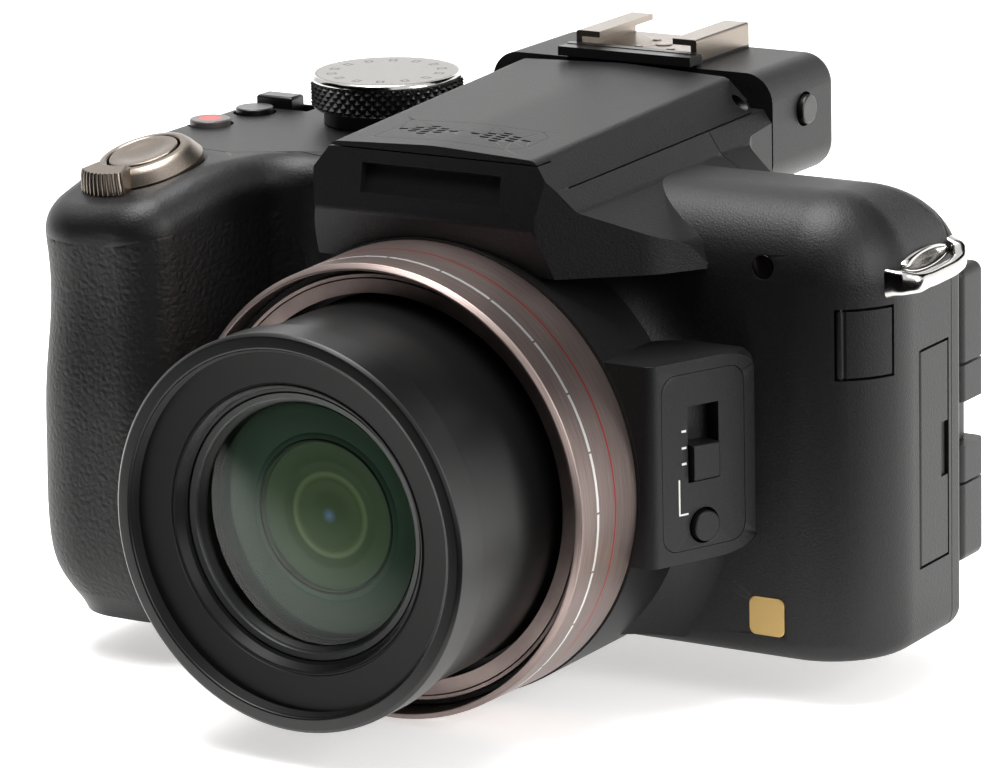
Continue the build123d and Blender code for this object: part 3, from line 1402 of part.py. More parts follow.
with BuildPart() as zoom_lever:
    with BuildSketch(deck_plane.offset(-lever_sink + seam)):
        Circle(lever_radius)
    extrude(amount=lever_sink)
    with BuildSketch(deck_plane):
        Circle(lever_radius)
    with BuildSketch(deck_plane.offset(lever_tall - lever_sink)):
        Circle(lever_top)
    loft()
    with BuildSketch(deck_plane.offset(seam)):
        with Locations((-lever_top, -lever_top / 2)):
            Rectangle(tab_width, tab_width, rotation=27)
    extrude(amount=lever_tall - lever_sink - seam)
    post(deck_plane, -lever_sink - neck_depth, 0, neck_outer, neck_inner)
    post(deck_plane, -lever_sink - seam, overrun, shutter_radius + free_gap / 2, mode=Mode.SUBTRACT)
keep(zoom_lever, "zoom_lever")

with BuildPart() as mode_dial:
    post(deck_place(dial_x, dial_y), free_gap / 2, dial_top - deck_height - dial_tall, dial_collar)
    post(deck_place(dial_x, dial_y), -edge_round, free_gap / 2, dial_shaft)
    with BuildSketch(deck_place(dial_x, dial_y).offset(dial_top - deck_height - dial_tall)):
        Circle(dial_radius)
        with PolarLocations(dial_radius, knurl_count):
            Circle(knurl_depth / 2, mode=Mode.SUBTRACT)
    extrude(amount=dial_tall - dial_cap_tall)
keep(mode_dial, "mode_dial")

with BuildPart() as dial_cap:
    add(key_block(deck_place(dial_x, dial_y), dial_top - deck_height - dial_cap_tall, dial_top - deck_height,
                  dial_radius - lens_round, dial_cap_tall / 2))
keep(dial_cap, "mode_dial_cap")

for name, place, radius in keys:
    with BuildPart() as key:
        add(key_block(place, -button_root, button_rise, radius, button_rise / 3))
    keep(key, name)

with BuildPart() as power_switch:
    corner_box(
        (power_x - power_long / 2, power_y - power_wide / 2, deck_height - button_root + free_gap),
        (power_x + power_long / 2, power_y + power_wide / 2, deck_height + 2 * button_rise),
    )
    fillet(power_switch.faces().sort_by(Axis.Z)[-1].edges(), button_rise / 2)
keep(power_switch, "power_switch")

with BuildPart() as rear_dial:
    with BuildSketch(Plane((rear_dial_x, rear_dial_y, rear_dial_z - rear_dial_tall / 2))):
        Circle(rear_dial_radius)
        with PolarLocations(rear_dial_radius, 40):
            Circle(flute, mode=Mode.SUBTRACT)
    extrude(amount=rear_dial_tall)
    post(Plane((rear_dial_x, rear_dial_y, rear_dial_z)), -rear_dial_tall / 2 - axle_stub, rear_dial_tall / 2 + axle_stub,
         axle_radius)
keep(rear_dial, "rear_dial")

with BuildPart() as cursor_pad:
    add(key_block(rear_place(pad_x, pad_z), -button_root, button_rise, pad_radius, button_rise / 3))
    post(rear_place(pad_x, pad_z), -far, far, pad_hole, mode=Mode.SUBTRACT)
keep(cursor_pad, "cursor_pad")

with BuildPart() as set_button:
    add(key_block(rear_place(pad_x, pad_z), -button_root, button_rise / 2, set_radius, button_rise / 4))
keep(set_button, "set_button")

with BuildPart() as focus_plate:
    with BuildSketch(panel_plane.offset(-panel_plate)):
        with Locations((0, (panel_low + panel_high) / 2)):
            RectangleRounded(
                panel_long - 2 * panel_margin - seam, panel_high - panel_low - 2 * panel_margin - seam, panel_round
            )
        with Locations((0, slider_height + slider_travel)):
            Rectangle(slider_wide + 2 * free_gap, slider_long + 2 * slider_travel + 2 * free_gap, mode=Mode.SUBTRACT)
        with Locations((0, focus_key_height)):
            Circle(focus_key_radius + free_gap, mode=Mode.SUBTRACT)
    extrude(amount=panel_plate)
keep(focus_plate, "focus_plate")

with BuildPart() as focus_switch:
    with BuildSketch(slider_middle.offset(-button_root)):
        Rectangle(slider_wide, slider_long)
        for row in range(-2, 3):
            with Locations((slider_wide / 2, row * slider_long / 5)):
                Rectangle(flute, flute, mode=Mode.SUBTRACT)
    extrude(amount=button_root + button_rise)
keep(focus_switch, "focus_switch")

# Doors, battery and card
with BuildPart() as battery:
    corner_box(
        (battery_x - battery_wide / 2, -battery_front, door_thick + seam),
        (battery_x + battery_wide / 2, -battery_front + battery_deep, battery_tall + door_thick),
    )
    fillet(battery.edges().filter_by(Axis.Z), lens_round * 2)
keep(battery, "battery")

with BuildPart() as memory_card:
    corner_box((card_left, card_front, door_thick + seam), (card_right, card_front + card_deep, card_tall + door_thick))
    chamfer(memory_card.edges().filter_by(Axis.X).sort_by(Axis.Z)[-1], edge_round * 2)
keep(memory_card, "memory_card")

with BuildPart() as battery_door:
    add(bay_door_block(0))
    add(form.part, mode=Mode.INTERSECT)
    tube_y(bay_door_front - stub_length, bay_door_rear + stub_length, stub_radius,
           x=bay_door_right - pivot_radius, z=pivot_radius)
    corner_box(
        (latch_x - latch_wide / 2 - free_gap / 2, latch_y - latch_long / 2 - free_gap / 2, -overrun),
        (latch_x + latch_wide / 2 + free_gap / 2, latch_y + latch_long / 2 + latch_travel + free_gap / 2, door_thick / 2),
        mode=Mode.SUBTRACT,
    )
keep(battery_door, "battery_door")

with BuildPart() as battery_latch:
    corner_box(
        (latch_x - latch_wide / 2, latch_y - latch_long / 2, seam),
        (latch_x + latch_wide / 2, latch_y + latch_long / 2, door_thick / 2 - seam / 2),
    )
keep(battery_latch, "battery_latch")

with BuildPart() as terminal_door:
    add(terminal_door_block(0))
    post(Plane((right_reach - pivot_radius, -terminal_front + pivot_radius, 0)),
         terminal_low - stub_length, terminal_high + stub_length, stub_radius)
    corner_box(
        (right_reach - notch_depth, terminal_rear - edge_round, (terminal_low + terminal_high) / 2 - overrun),
        (right_reach + overrun, terminal_rear + edge_round, (terminal_low + terminal_high) / 2 + overrun),
        mode=Mode.SUBTRACT,
    )
keep(terminal_door, "terminal_door")

with BuildPart() as jack_door:
    add(jack_door_block(0))
    post(Plane((jack_pivot[0], jack_pivot[1], 0)), jack_low - stub_length, jack_high + stub_length, stub_radius)
keep(jack_door, "jack_door")

with BuildPart() as terminals:
    corner_box(
        (right_reach - door_thick - wall - overrun + seam, -terminal_front + 2 * pivot_radius + 2 * seam, terminal_low + wall + seam),
        (right_reach - door_thick - free_gap, terminal_rear - wall / 2 - seam, terminal_high - wall - seam),
    )
    for share in (0.2, 0.45, 0.75):
        z = terminal_low + (terminal_high - terminal_low) * share
        corner_box(
            (right_reach - door_thick - wall - overrun / 2, -edge_round, z - edge_round),
            (right_reach, edge_round / 2, z + edge_round), mode=Mode.SUBTRACT,
        )
keep(terminals, "terminals")

for name, piece in pieces.items():
    export_step(piece, f"parts/{name}.step")
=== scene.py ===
"""A bridge camera dressed for its photograph: moulded shell, rubber grip, bronze ring and coated glass."""
import json
import math

import bpy
import numpy as np
from mathutils import Matrix, Vector


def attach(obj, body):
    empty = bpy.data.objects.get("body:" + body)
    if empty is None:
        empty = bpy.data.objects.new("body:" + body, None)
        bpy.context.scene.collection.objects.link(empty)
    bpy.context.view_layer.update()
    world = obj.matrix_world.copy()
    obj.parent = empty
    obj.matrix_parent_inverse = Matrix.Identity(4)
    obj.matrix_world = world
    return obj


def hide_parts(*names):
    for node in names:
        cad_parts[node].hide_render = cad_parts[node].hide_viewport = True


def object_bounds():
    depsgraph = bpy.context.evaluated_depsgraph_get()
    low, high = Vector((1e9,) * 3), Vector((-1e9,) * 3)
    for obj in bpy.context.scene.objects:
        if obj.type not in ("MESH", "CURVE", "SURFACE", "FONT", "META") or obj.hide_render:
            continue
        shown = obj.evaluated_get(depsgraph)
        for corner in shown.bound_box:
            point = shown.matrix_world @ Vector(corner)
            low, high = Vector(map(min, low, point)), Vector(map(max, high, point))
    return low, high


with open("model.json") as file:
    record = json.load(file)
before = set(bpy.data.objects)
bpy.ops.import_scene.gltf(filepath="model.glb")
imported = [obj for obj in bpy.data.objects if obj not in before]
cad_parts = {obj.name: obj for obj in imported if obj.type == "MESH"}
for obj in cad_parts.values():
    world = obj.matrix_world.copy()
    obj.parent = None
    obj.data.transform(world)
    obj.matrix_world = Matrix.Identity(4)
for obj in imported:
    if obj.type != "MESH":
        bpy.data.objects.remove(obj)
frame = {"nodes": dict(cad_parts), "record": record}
cad_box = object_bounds()
nodes = frame["nodes"]
MM = 0.001
TAU = 2 * math.pi

# Places and counts on the CAD model, in millimetres
LENS_HEIGHT = 27.0                 # lens axis above the base
WHITE_LINE = -46.3                 # printed lines on the bronze ring, along the lens axis
RED_LINE = -41.8
WHITE_DASHES = 24                  # the white line is broken this many times round the ring
RECORD_MIDDLE = (-56.6, -7.0)      # movie button in plan
RECORD_RED = 1.75                  # radius of its red centre
DIAL_MIDDLE = (-33.7, 6.7)         # mode dial in plan
DIAL_MARKS = 14
MARK_RADIUS = 8.3
INNER_GLASS = 17.5                 # radius over which the inner glass changes colour
PANEL_MIDDLE = (39.0, -27.3)       # focus panel in plan
PANEL_START = (35.4, -35.6)        # front and rear edge of the panel in plan
PANEL_END = (42.6, -19.0)
WIDE_EDGE = 0.35                   # eased edges of the large covers, and of all else
FINE_EDGE = 0.12
LARGE_COVERS = ("front_shell", "rear_shell", "flash_lid", "finder_housing", "screen_frame", "grip_rubber")


# Materials
def colour(code):
    """sRGB hex to linear RGBA."""
    parts = [int(code[i:i + 2], 16) / 255 for i in (1, 3, 5)]
    return tuple(v / 12.92 if v <= 0.04045 else ((v + 0.055) / 1.055) ** 2.4 for v in parts) + (1.0,)


def add(tree, kind, settings=None, **links):
    """Adds a shader node. Settings are attributes or input values, links run from an output to an input."""
    node = tree.nodes.new(kind)
    for key, value in (settings or {}).items():
        if key in node.inputs:
            node.inputs[key].default_value = value
        else:
            setattr(node, key, value)
    for key, source in links.items():
        tree.links.new(source, node.inputs[key.replace("_", " ")])
    return node


def number(tree, operation, first, second=None):
    """A math node on one or two values, each a socket or a plain number. Returns its output."""
    node = tree.nodes.new("ShaderNodeMath")
    node.operation = operation
    for place, value in enumerate((first, second)):
        if value is None:
            continue
        if isinstance(value, (int, float)):
            node.inputs[place].default_value = value
        else:
            tree.links.new(value, node.inputs[place])
    return node.outputs["Value"]


def material(name, base, rough, metal=0.0, **more):
    """A material with its own surface shader. Returns it with its tree and the shader."""
    made = bpy.data.materials.new(name)
    made.use_nodes = True
    tree = made.node_tree
    shader = tree.nodes["Principled BSDF"]
    shader.inputs["Base Color"].default_value = colour(base)
    shader.inputs["Roughness"].default_value = rough
    shader.inputs["Metallic"].default_value = metal
    for key, value in more.items():
        shader.inputs[key.replace("_", " ")].default_value = value
    return made, tree, shader


def noise_at(tree, vector, size_mm, detail):
    """Noise whose lumps have a size in millimetres."""
    return add(tree, "ShaderNodeTexNoise", {"Scale": 1 / (size_mm * MM), "Detail": detail}, Vector=vector)


def relief(tree, shader, height, depth_mm, strength=1.0):
    """Raises the surface by a pattern's height, up to a depth in millimetres."""
    bump = add(tree, "ShaderNodeBump", {"Strength": strength, "Distance": depth_mm * MM}, Height=height)
    tree.links.new(bump.outputs["Normal"], shader.inputs["Normal"])


def grain(tree, shader, size_mm, depth_mm):
    """Fine noise relief, such as a spark-eroded mould leaves."""
    place = add(tree, "ShaderNodeTexCoord")
    noise = noise_at(tree, place.outputs["Object"], size_mm, 2.0)
    relief(tree, shader, noise.outputs["Fac"], depth_mm)
    return place, noise


def two_tone(tree, shader, fac, dark, light, low=0.35, high=0.65):
    """Colour that wanders between two tones with a pattern."""
    ramp = add(tree, "ShaderNodeValToRGB", {}, Fac=fac)
    ramp.color_ramp.elements[0].color = colour(dark)
    ramp.color_ramp.elements[1].color = colour(light)
    ramp.color_ramp.elements[0].position = low
    ramp.color_ramp.elements[1].position = high
    tree.links.new(ramp.outputs["Color"], shader.inputs["Base Color"])
    return ramp


def turned(tree, shader, size_mm, depth_mm):
    """Fine rings about the lens axis, as a lathe leaves: noise along Y that barely changes round it."""
    place = add(tree, "ShaderNodeTexCoord")
    stretch = add(tree, "ShaderNodeMapping", {"Scale": (0.02, 1.0, 0.02)}, Vector=place.outputs["Object"])
    noise = noise_at(tree, stretch.outputs["Vector"], size_mm, 3.0)
    relief(tree, shader, noise.outputs["Fac"], depth_mm, 0.7)
    return place, noise


def band(tree, value, middle_mm, half_mm):
    """1 within half a width of a place in millimetres, 0 outside."""
    off = number(tree, "ABSOLUTE", number(tree, "SUBTRACT", value, middle_mm * MM))
    return number(tree, "LESS_THAN", off, half_mm * MM)


def from_middle(tree, place, first, second, middle):
    """How far a point lies from a middle in millimetres, along two axes and in a straight line."""
    split = add(tree, "ShaderNodeSeparateXYZ", {}, Vector=place.outputs["Object"])
    across = number(tree, "SUBTRACT", split.outputs[first], middle[0] * MM)
    along = number(tree, "SUBTRACT", split.outputs[second], middle[1] * MM)
    across_square = number(tree, "MULTIPLY", across, across)
    along_square = number(tree, "MULTIPLY", along, along)
    return across, along, number(tree, "SQRT", number(tree, "ADD", across_square, along_square))


def paint(tree, shader, mask, code, under):
    """Lays a flat printed colour over another colour socket where the mask is 1."""
    mix = add(tree, "ShaderNodeMix", {"data_type": "RGBA"})
    tree.links.new(mask, mix.inputs[0])
    tree.links.new(under, mix.inputs[6])
    mix.inputs[7].default_value = colour(code)
    tree.links.new(mix.outputs[2], shader.inputs["Base Color"])
    return mix.outputs[2]


# Glass-filled polycarbonate, moulded with a fine spark-eroded grain: soft grey sheen with a slight speckle.
shell_mat, tree, shader = material("moulded_polycarbonate", "#0c0b0c", 0.44, Specular_IOR_Level=0.34)
_, noise = grain(tree, shader, 0.3, 0.045)
two_tone(tree, shader, noise.outputs["Fac"], "#080808", "#131213")

# Moulded elastomer with a leather grain: small cells with soft valleys.
grip_mat, tree, shader = material("leather_grained_elastomer", "#0c0c0c", 0.5, Specular_IOR_Level=0.32)
place = add(tree, "ShaderNodeTexCoord")
cell_size = {"feature": "DISTANCE_TO_EDGE", "Scale": 1 / (1.15 * MM)}
cells = add(tree, "ShaderNodeTexVoronoi", cell_size, Vector=place.outputs["Object"])
folds = noise_at(tree, place.outputs["Object"], 0.8, 3.0)
relief(tree, shader, number(tree, "ADD", cells.outputs["Distance"], folds.outputs["Fac"]), 0.14, 0.8)
two_tone(tree, shader, folds.outputs["Fac"], "#080808", "#121212", 0.3, 0.7)

# Aluminium, fine turned and anodised a warm rose grey, with a printed white line and a thin red one.
bronze_mat, tree, shader = material("rose_anodised_aluminium", "#8f807b", 0.4, 1.0)
place, noise = turned(tree, shader, 0.12, 0.01)
ramp = two_tone(tree, shader, noise.outputs["Fac"], "#857672", "#998a85")
split = add(tree, "ShaderNodeSeparateXYZ", {}, Vector=place.outputs["Object"])
rise = number(tree, "SUBTRACT", split.outputs["Z"], LENS_HEIGHT * MM)
turn = number(tree, "ARCTAN2", rise, split.outputs["X"])
dash = number(tree, "FRACT", number(tree, "MULTIPLY", turn, WHITE_DASHES / TAU))
gap = number(tree, "GREATER_THAN", dash, 0.035)
white = number(tree, "MULTIPLY", band(tree, split.outputs["Y"], WHITE_LINE, 0.28), gap)
under = paint(tree, shader, white, "#efeeec", ramp.outputs["Color"])
paint(tree, shader, band(tree, split.outputs["Y"], RED_LINE, 0.16), "#b8403d", under)

# Aluminium tube painted satin black.
barrel_mat, tree, shader = material("satin_black_paint", "#0a0a0a", 0.34, 0.0, Specular_IOR_Level=0.42)
turned(tree, shader, 0.3, 0.004)

black_mat, tree, shader = material("flocked_black_paint", "#0b0b0b", 0.7)
grain(tree, shader, 0.3, 0.02)

# Anodised front ring: black with a fine tooth.
anodised_mat, tree, shader = material(
    "black_anodised_aluminium", "#0b0b0b", 0.42, 0.0, Specular_IOR_Level=0.3)
grain(tree, shader, 0.12, 0.006)

retainer_mat, tree, shader = material("grey_anodised_retainer", "#3b3d3c", 0.4, 0.6)
turned(tree, shader, 0.2, 0.004)

# ABS buttons, polished in the mould.
button_mat, tree, shader = material("polished_abs", "#101010", 0.3)
grain(tree, shader, 0.5, 0.005)

# Movie button: a red centre in a grey plated ring, round about its own middle.
red_mat, tree, shader = material("red_dyed_abs", "#a3201e", 0.35)
place, noise = grain(tree, shader, 0.5, 0.005)
ramp = two_tone(tree, shader, noise.outputs["Fac"], "#9c1f1c", "#b02724")
_, _, reach = from_middle(tree, place, "X", "Y", RECORD_MIDDLE)
paint(tree, shader, number(tree, "GREATER_THAN", reach, RECORD_RED * MM), "#4a4644", ramp.outputs["Color"])

silver_mat, tree, shader = material("satin_silver_plate", "#a9a6a3", 0.3, 1.0)
grain(tree, shader, 0.18, 0.01)

# The dial's plated top, with a ring of plain printed strokes.
dial_mat, tree, shader = material("printed_silver_plate", "#a9a6a3", 0.36, 0.9)
place, noise = grain(tree, shader, 0.16, 0.008)
ramp = two_tone(tree, shader, noise.outputs["Fac"], "#7f7d7a", "#96938f")
across, along, reach = from_middle(tree, place, "X", "Y", DIAL_MIDDLE)
turn = number(tree, "ARCTAN2", along, across)
step = number(tree, "FRACT", number(tree, "MULTIPLY", turn, DIAL_MARKS / TAU))
step = number(tree, "SUBTRACT", step, 0.5)
sweep = number(tree, "MULTIPLY", step, TAU / DIAL_MARKS)
aside = number(tree, "ABSOLUTE", number(tree, "MULTIPLY", sweep, reach))
within_stroke = number(tree, "LESS_THAN", aside, 0.62 * MM)
within_hollow = number(tree, "LESS_THAN", aside, 0.3 * MM)
stroke = number(tree, "MULTIPLY", within_stroke, band(tree, reach, MARK_RADIUS, 0.75))
hollow = number(tree, "MULTIPLY", within_hollow, band(tree, reach, MARK_RADIUS, 0.42))
paint(tree, shader, number(tree, "SUBTRACT", stroke, hollow), "#2a2a2a", ramp.outputs["Color"])

chrome_mat, tree, shader = material("chromed_zinc", "#c4c2bf", 0.14, 1.0)
grain(tree, shader, 1.2, 0.004)

# Pressed steel of the accessory shoe.
steel_mat, tree, shader = material("stamped_steel", "#8f867c", 0.3, 1.0)
grain(tree, shader, 0.22, 0.01)

# Die-cast lever and shutter button, satin plated in a warm grey.
lever_mat, tree, shader = material("satin_bronze_plate", "#83796f", 0.33, 1.0)
_, noise = grain(tree, shader, 0.14, 0.008)
two_tone(tree, shader, noise.outputs["Fac"], "#7a7067", "#8f857b")

gold_mat, tree, shader = material("satin_gilt_plate", "#b79a62", 0.36, 0.8)
grain(tree, shader, 0.2, 0.008)

ink_mat, tree, shader = material("white_printing_ink", "#d9d9d7", 0.5)
grain(tree, shader, 0.2, 0.004)

# Front glass: its coating lets the eye through, so little is reflected.
glass_mat, tree, shader = material(
    "coated_optical_glass", "#e9f5ea", 0.0, 0.0, Transmission_Weight=1.0, IOR=1.2)

# Inner glass, seen through the front one: painted reflections of its coatings in its base colour, green and
# amber in soft rings.
inner_glass_painted_reflections_mat, tree, shader = material("inner_glass_painted_reflections", "#3a4636", 0.4, 0.0, Specular_IOR_Level=0.15)
place = add(tree, "ShaderNodeTexCoord")
_, _, reach = from_middle(tree, place, "X", "Z", (0.0, LENS_HEIGHT))
ramp = add(tree, "ShaderNodeValToRGB", {}, Fac=number(tree, "MULTIPLY", reach, 1 / (INNER_GLASS * MM)))
# Painted reflections by radius: a blue glint in the middle, a lighter ring near 6 mm, then green bands out
# to a dark edge.
painted_reflection_rings = (
    (0.03, "#7d8fb2"), (0.07, "#66745a"), (0.3, "#6f7b5c"), (0.34, "#98a27e"),
    (0.37, "#657258"), (0.6, "#6c7a64"), (0.66, "#50645a"), (0.9, "#42564a"),
)
for at, code in painted_reflection_rings:
    stop = ramp.color_ramp.elements.new(at)
    stop.color = colour(code)
ramp.color_ramp.elements[0].color = colour("#9cb0dc")
ramp.color_ramp.elements[-1].color = colour("#28352c")
tree.links.new(ramp.outputs["Color"], shader.inputs["Base Color"])

window_mat, tree, shader = material("dark_display_glass", "#08090a", 0.06, 0.0, Coat_Weight=0.6)
grain(tree, shader, 2.0, 0.002)
lamp_mat, tree, shader = material("smoked_window", "#050303", 0.12)
grain(tree, shader, 2.0, 0.002)
wrap_mat, tree, shader = material("printed_film_wrap", "#202226", 0.4)
grain(tree, shader, 0.4, 0.01)
board_mat, tree, shader = material("solder_mask", "#0f3d24", 0.35)
grain(tree, shader, 0.6, 0.02)

finish = {
    "body_plastic": shell_mat, "grip_rubber": grip_mat, "satin_black": barrel_mat,
    "gloss_black": button_mat, "bronze": bronze_mat, "silver": silver_mat, "chrome": chrome_mat,
    "steel": steel_mat, "gold": gold_mat, "glass": glass_mat, "screen": window_mat,
    "board": board_mat, "battery": wrap_mat,
}
for entry in frame["record"]["subparts"]:
    piece = nodes[entry["node"]]
    piece.data.materials.clear()
    piece.data.materials.append(finish[entry["material_slot"]])
own_finish = {
    "lens_base": black_mat, "lens_guide_tube": black_mat, "cam_ring": black_mat, "movie_button": red_mat,
    "af_lamp_window": lamp_mat, "flash_window": glass_mat, "hot_shoe_base": button_mat,
    "shutter_button": lever_mat, "mode_dial_cap": dial_mat, "middle_barrel": bronze_mat,
    "focus_switch": shell_mat, "focus_button": shell_mat, "focus_plate": shell_mat, "mic_plate": shell_mat,
}
for name, chosen in own_finish.items():
    nodes[name].data.materials.clear()
    nodes[name].data.materials.append(chosen)


def soften(piece, width):
    """Welds a CAD mesh, eases its edges of more than 28 degrees and shades it smooth."""
    for face in piece.data.polygons:
        face.use_smooth = True
    weld = piece.modifiers.new("weld", "WELD")
    weld.merge_threshold = 0.002 * MM
    edge = piece.modifiers.new("edge", "BEVEL")
    edge.width = width * MM
    edge.segments = 2
    edge.limit_method = "ANGLE"
    edge.angle_limit = math.radians(28)
    edge.harden_normals = False
    normals = piece.modifiers.new("normals", "WEIGHTED_NORMAL")
    normals.keep_sharp = True


for name, piece in nodes.items():
    soften(piece, WIDE_EDGE if name in LARGE_COVERS else FINE_EDGE)


# Pieces made as surfaces
def surface(name, points, body, finish_used, sharp):
    """A skin through closed rows of points in millimetres. Edges over the sharp angle stay sharp."""
    rows, columns = points.shape[:2]
    index = np.arange(rows * columns).reshape(rows, columns)
    ahead = np.roll(index, -1, axis=1)
    faces = np.stack([index[:-1], ahead[:-1], ahead[1:], index[1:]], axis=-1).reshape(-1, 4)
    mesh = bpy.data.meshes.new(name)
    mesh.from_pydata((points.reshape(-1, 3) * MM).tolist(), [], faces.tolist())
    for face in mesh.polygons:
        face.use_smooth = True
    mesh.set_sharp_from_angle(angle=math.radians(sharp))
    mesh.materials.append(finish_used)
    piece = bpy.data.objects.new(name, mesh)
    bpy.context.scene.collection.objects.link(piece)
    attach(piece, body)
    return piece


def about_lens(profile, count=240):
    """A profile of (radius, y) turned about the lens axis: x = r cos a, z = height + r sin a."""
    radius, along = np.array(profile, float).T
    turn = np.linspace(0, TAU, count, endpoint=False)
    return np.stack([
        radius[:, None] * np.cos(turn), np.repeat(along[:, None], count, axis=1),
        LENS_HEIGHT + radius[:, None] * np.sin(turn),
    ], axis=-1)


def dome(radius, edge, crown, steps=14):
    """Profile of a shallow dome: y = edge - crown (1 - (r / radius)^2)."""
    reach = np.linspace(0.01, radius, steps)
    return [(r, edge - crown * (1 - (r / radius) ** 2)) for r in reach]


# Front of the lens: filter thread, bare name ring, bevel, retaining ring and the glass
front = surface("front_rings", about_lens([
    (25.85, -74.2), (25.5, -73.9), (25.85, -73.6), (25.5, -73.3), (25.85, -73.0), (25.5, -72.7),
    (25.7, -72.45), (25.2, -72.35), (20.75, -71.75), (20.6, -71.5), (20.45, -71.5), (20.3, -71.7),
    (20.1, -71.65), (19.5, -70.3), (19.15, -70.1), (19.1, -69.6), (18.3, -69.3), (18.1, -69.0),
    (17.2, -68.2), (17.1, -62.4), (26.2, -62.4), (26.2, -72.0),
]), "front_barrel_body", anodised_mat, 30)
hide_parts("front_lens_cell")
surface("glass_retainer", about_lens([
    (19.0, -69.75), (18.85, -69.95), (18.1, -69.75), (17.95, -69.5), (17.9, -69.1), (19.0, -69.1),
    (19.0, -69.75),
]), "front_barrel_body", retainer_mat, 30)
front_face = dome(17.15, -68.4, 1.5)
rear_face = [(radius, along + 2.2) for radius, along in dome(17.1, -69.0, 0.6)[::-1]]
front_glass = surface(
    "front_glass", about_lens(front_face + [(17.15, -67.4)] + rear_face),
    "front_barrel_body", glass_mat, 30,
)
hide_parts("front_element")
surface("inner_glass", about_lens([
    (0.01, -64.2), (3.0, -64.05), (4.6, -63.9), (4.8, -64.0), (5.1, -63.95), (7.4, -63.9),
    (7.6, -64.05), (7.9, -64.0), (10.6, -64.4), (10.75, -64.9), (11.7, -65.2), (12.1, -65.0),
    (12.3, -65.15), (14.5, -65.6), (16.6, -66.2), (17.1, -66.5), (17.1, -63.0), (0.01, -63.0),
]), "front_barrel_body", inner_glass_painted_reflections_mat, 50)
surface("inner_rim", about_lens([
    (10.85, -65.15), (11.0, -65.3), (11.15, -65.3), (11.3, -65.15), (11.0, -65.0), (10.85, -65.15),
]), "front_barrel_body", retainer_mat, 60)
surface("inner_bronze_ring", about_lens([
    (30.15, -46.9), (30.3, -47.55), (30.75, -47.6), (30.9, -47.3), (30.9, -46.2), (30.15, -46.2),
    (30.15, -46.9),
]), "middle_barrel_body", bronze_mat, 30)


# Mode dial: three rows of diamond knurl under a bright rim
def knurl(count=44, rows=3, low=69.0, high=73.25, radius=10.9, height=0.65):
    """Radius 10.9 plus pyramids: 0.65 (1 - the larger of two saw-toothed diagonals), three rows of 44."""
    turn = np.linspace(0, 1, count * 10, endpoint=False)
    rise = np.linspace(0, 1, rows * 10 + 1)
    across = count * turn[None, :]
    along = rows * rise[:, None]
    first = np.mod(across + along, 1)
    second = np.mod(across - along, 1)
    reach = radius + height * (1 - np.maximum(np.abs(2 * first - 1), np.abs(2 * second - 1)))
    edge = np.minimum(1, 8 * np.minimum(rise, 1 - rise))[:, None]
    reach = radius + (reach - radius) * edge
    angle = TAU * turn
    z = low + (high - low) * rise
    return np.stack([
        DIAL_MIDDLE[0] + reach * np.cos(angle), DIAL_MIDDLE[1] + reach * np.sin(angle),
        np.repeat(z[:, None], len(turn), axis=1),
    ], axis=-1)


def about_dial(profile, count=160):
    """A profile of (radius, z) turned about the dial's upright axis."""
    radius, height = np.array(profile, float).T
    turn = np.linspace(0, TAU, count, endpoint=False)
    return np.stack([
        DIAL_MIDDLE[0] + radius[:, None] * np.cos(turn), DIAL_MIDDLE[1] + radius[:, None] * np.sin(turn),
        np.repeat(height[:, None], count, axis=1),
    ], axis=-1)


dial = surface("dial_knurl", knurl(), "mode_dial_body", button_mat, 20)
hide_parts("mode_dial")
surface("dial_skirt", about_dial([
    (9.0, 66.75), (9.6, 66.75), (9.6, 68.6), (9.8, 68.95), (10.6, 68.95), (11.1, 69.15),
    (11.0, 69.3), (9.0, 69.3), (9.0, 66.75),
]), "mode_dial_body", button_mat, 30)
surface("dial_rim", about_dial([
    (11.0, 73.2), (11.38, 73.3), (11.4, 73.55), (11.2, 73.95), (10.95, 74.12), (10.75, 74.05),
    (10.7, 73.3), (11.0, 73.2),
]), "mode_dial_body", chrome_mat, 60)


# Zoom lever: a cone round the shutter button with a fluted tab in front
DECK_LEAN = math.radians(7.0)       # the deck falls to the grip side
DECK_PITCH = math.radians(14.5)     # and to the front
TAB_TURN = math.radians(256)        # where the lever's tab points, from X towards Y
TAB_HALF = math.radians(30)
TAB_RAMP = math.radians(2.5)        # over which the tab's side rises
FLUTE = math.radians(5.2)           # one flute
FLUTE_DEPTH = 0.38
deck_up = np.array([-math.sin(DECK_LEAN), -math.sin(DECK_PITCH), math.cos(DECK_PITCH)])
deck_up /= np.linalg.norm(deck_up)
deck_x = np.array([1.0, 0.0, math.tan(DECK_LEAN)])
deck_x -= deck_up * (deck_x @ deck_up)
deck_x /= np.linalg.norm(deck_x)
deck_y = np.cross(deck_up, deck_x)
deck_middle = np.array([-51.0, -31.5, 65.4])


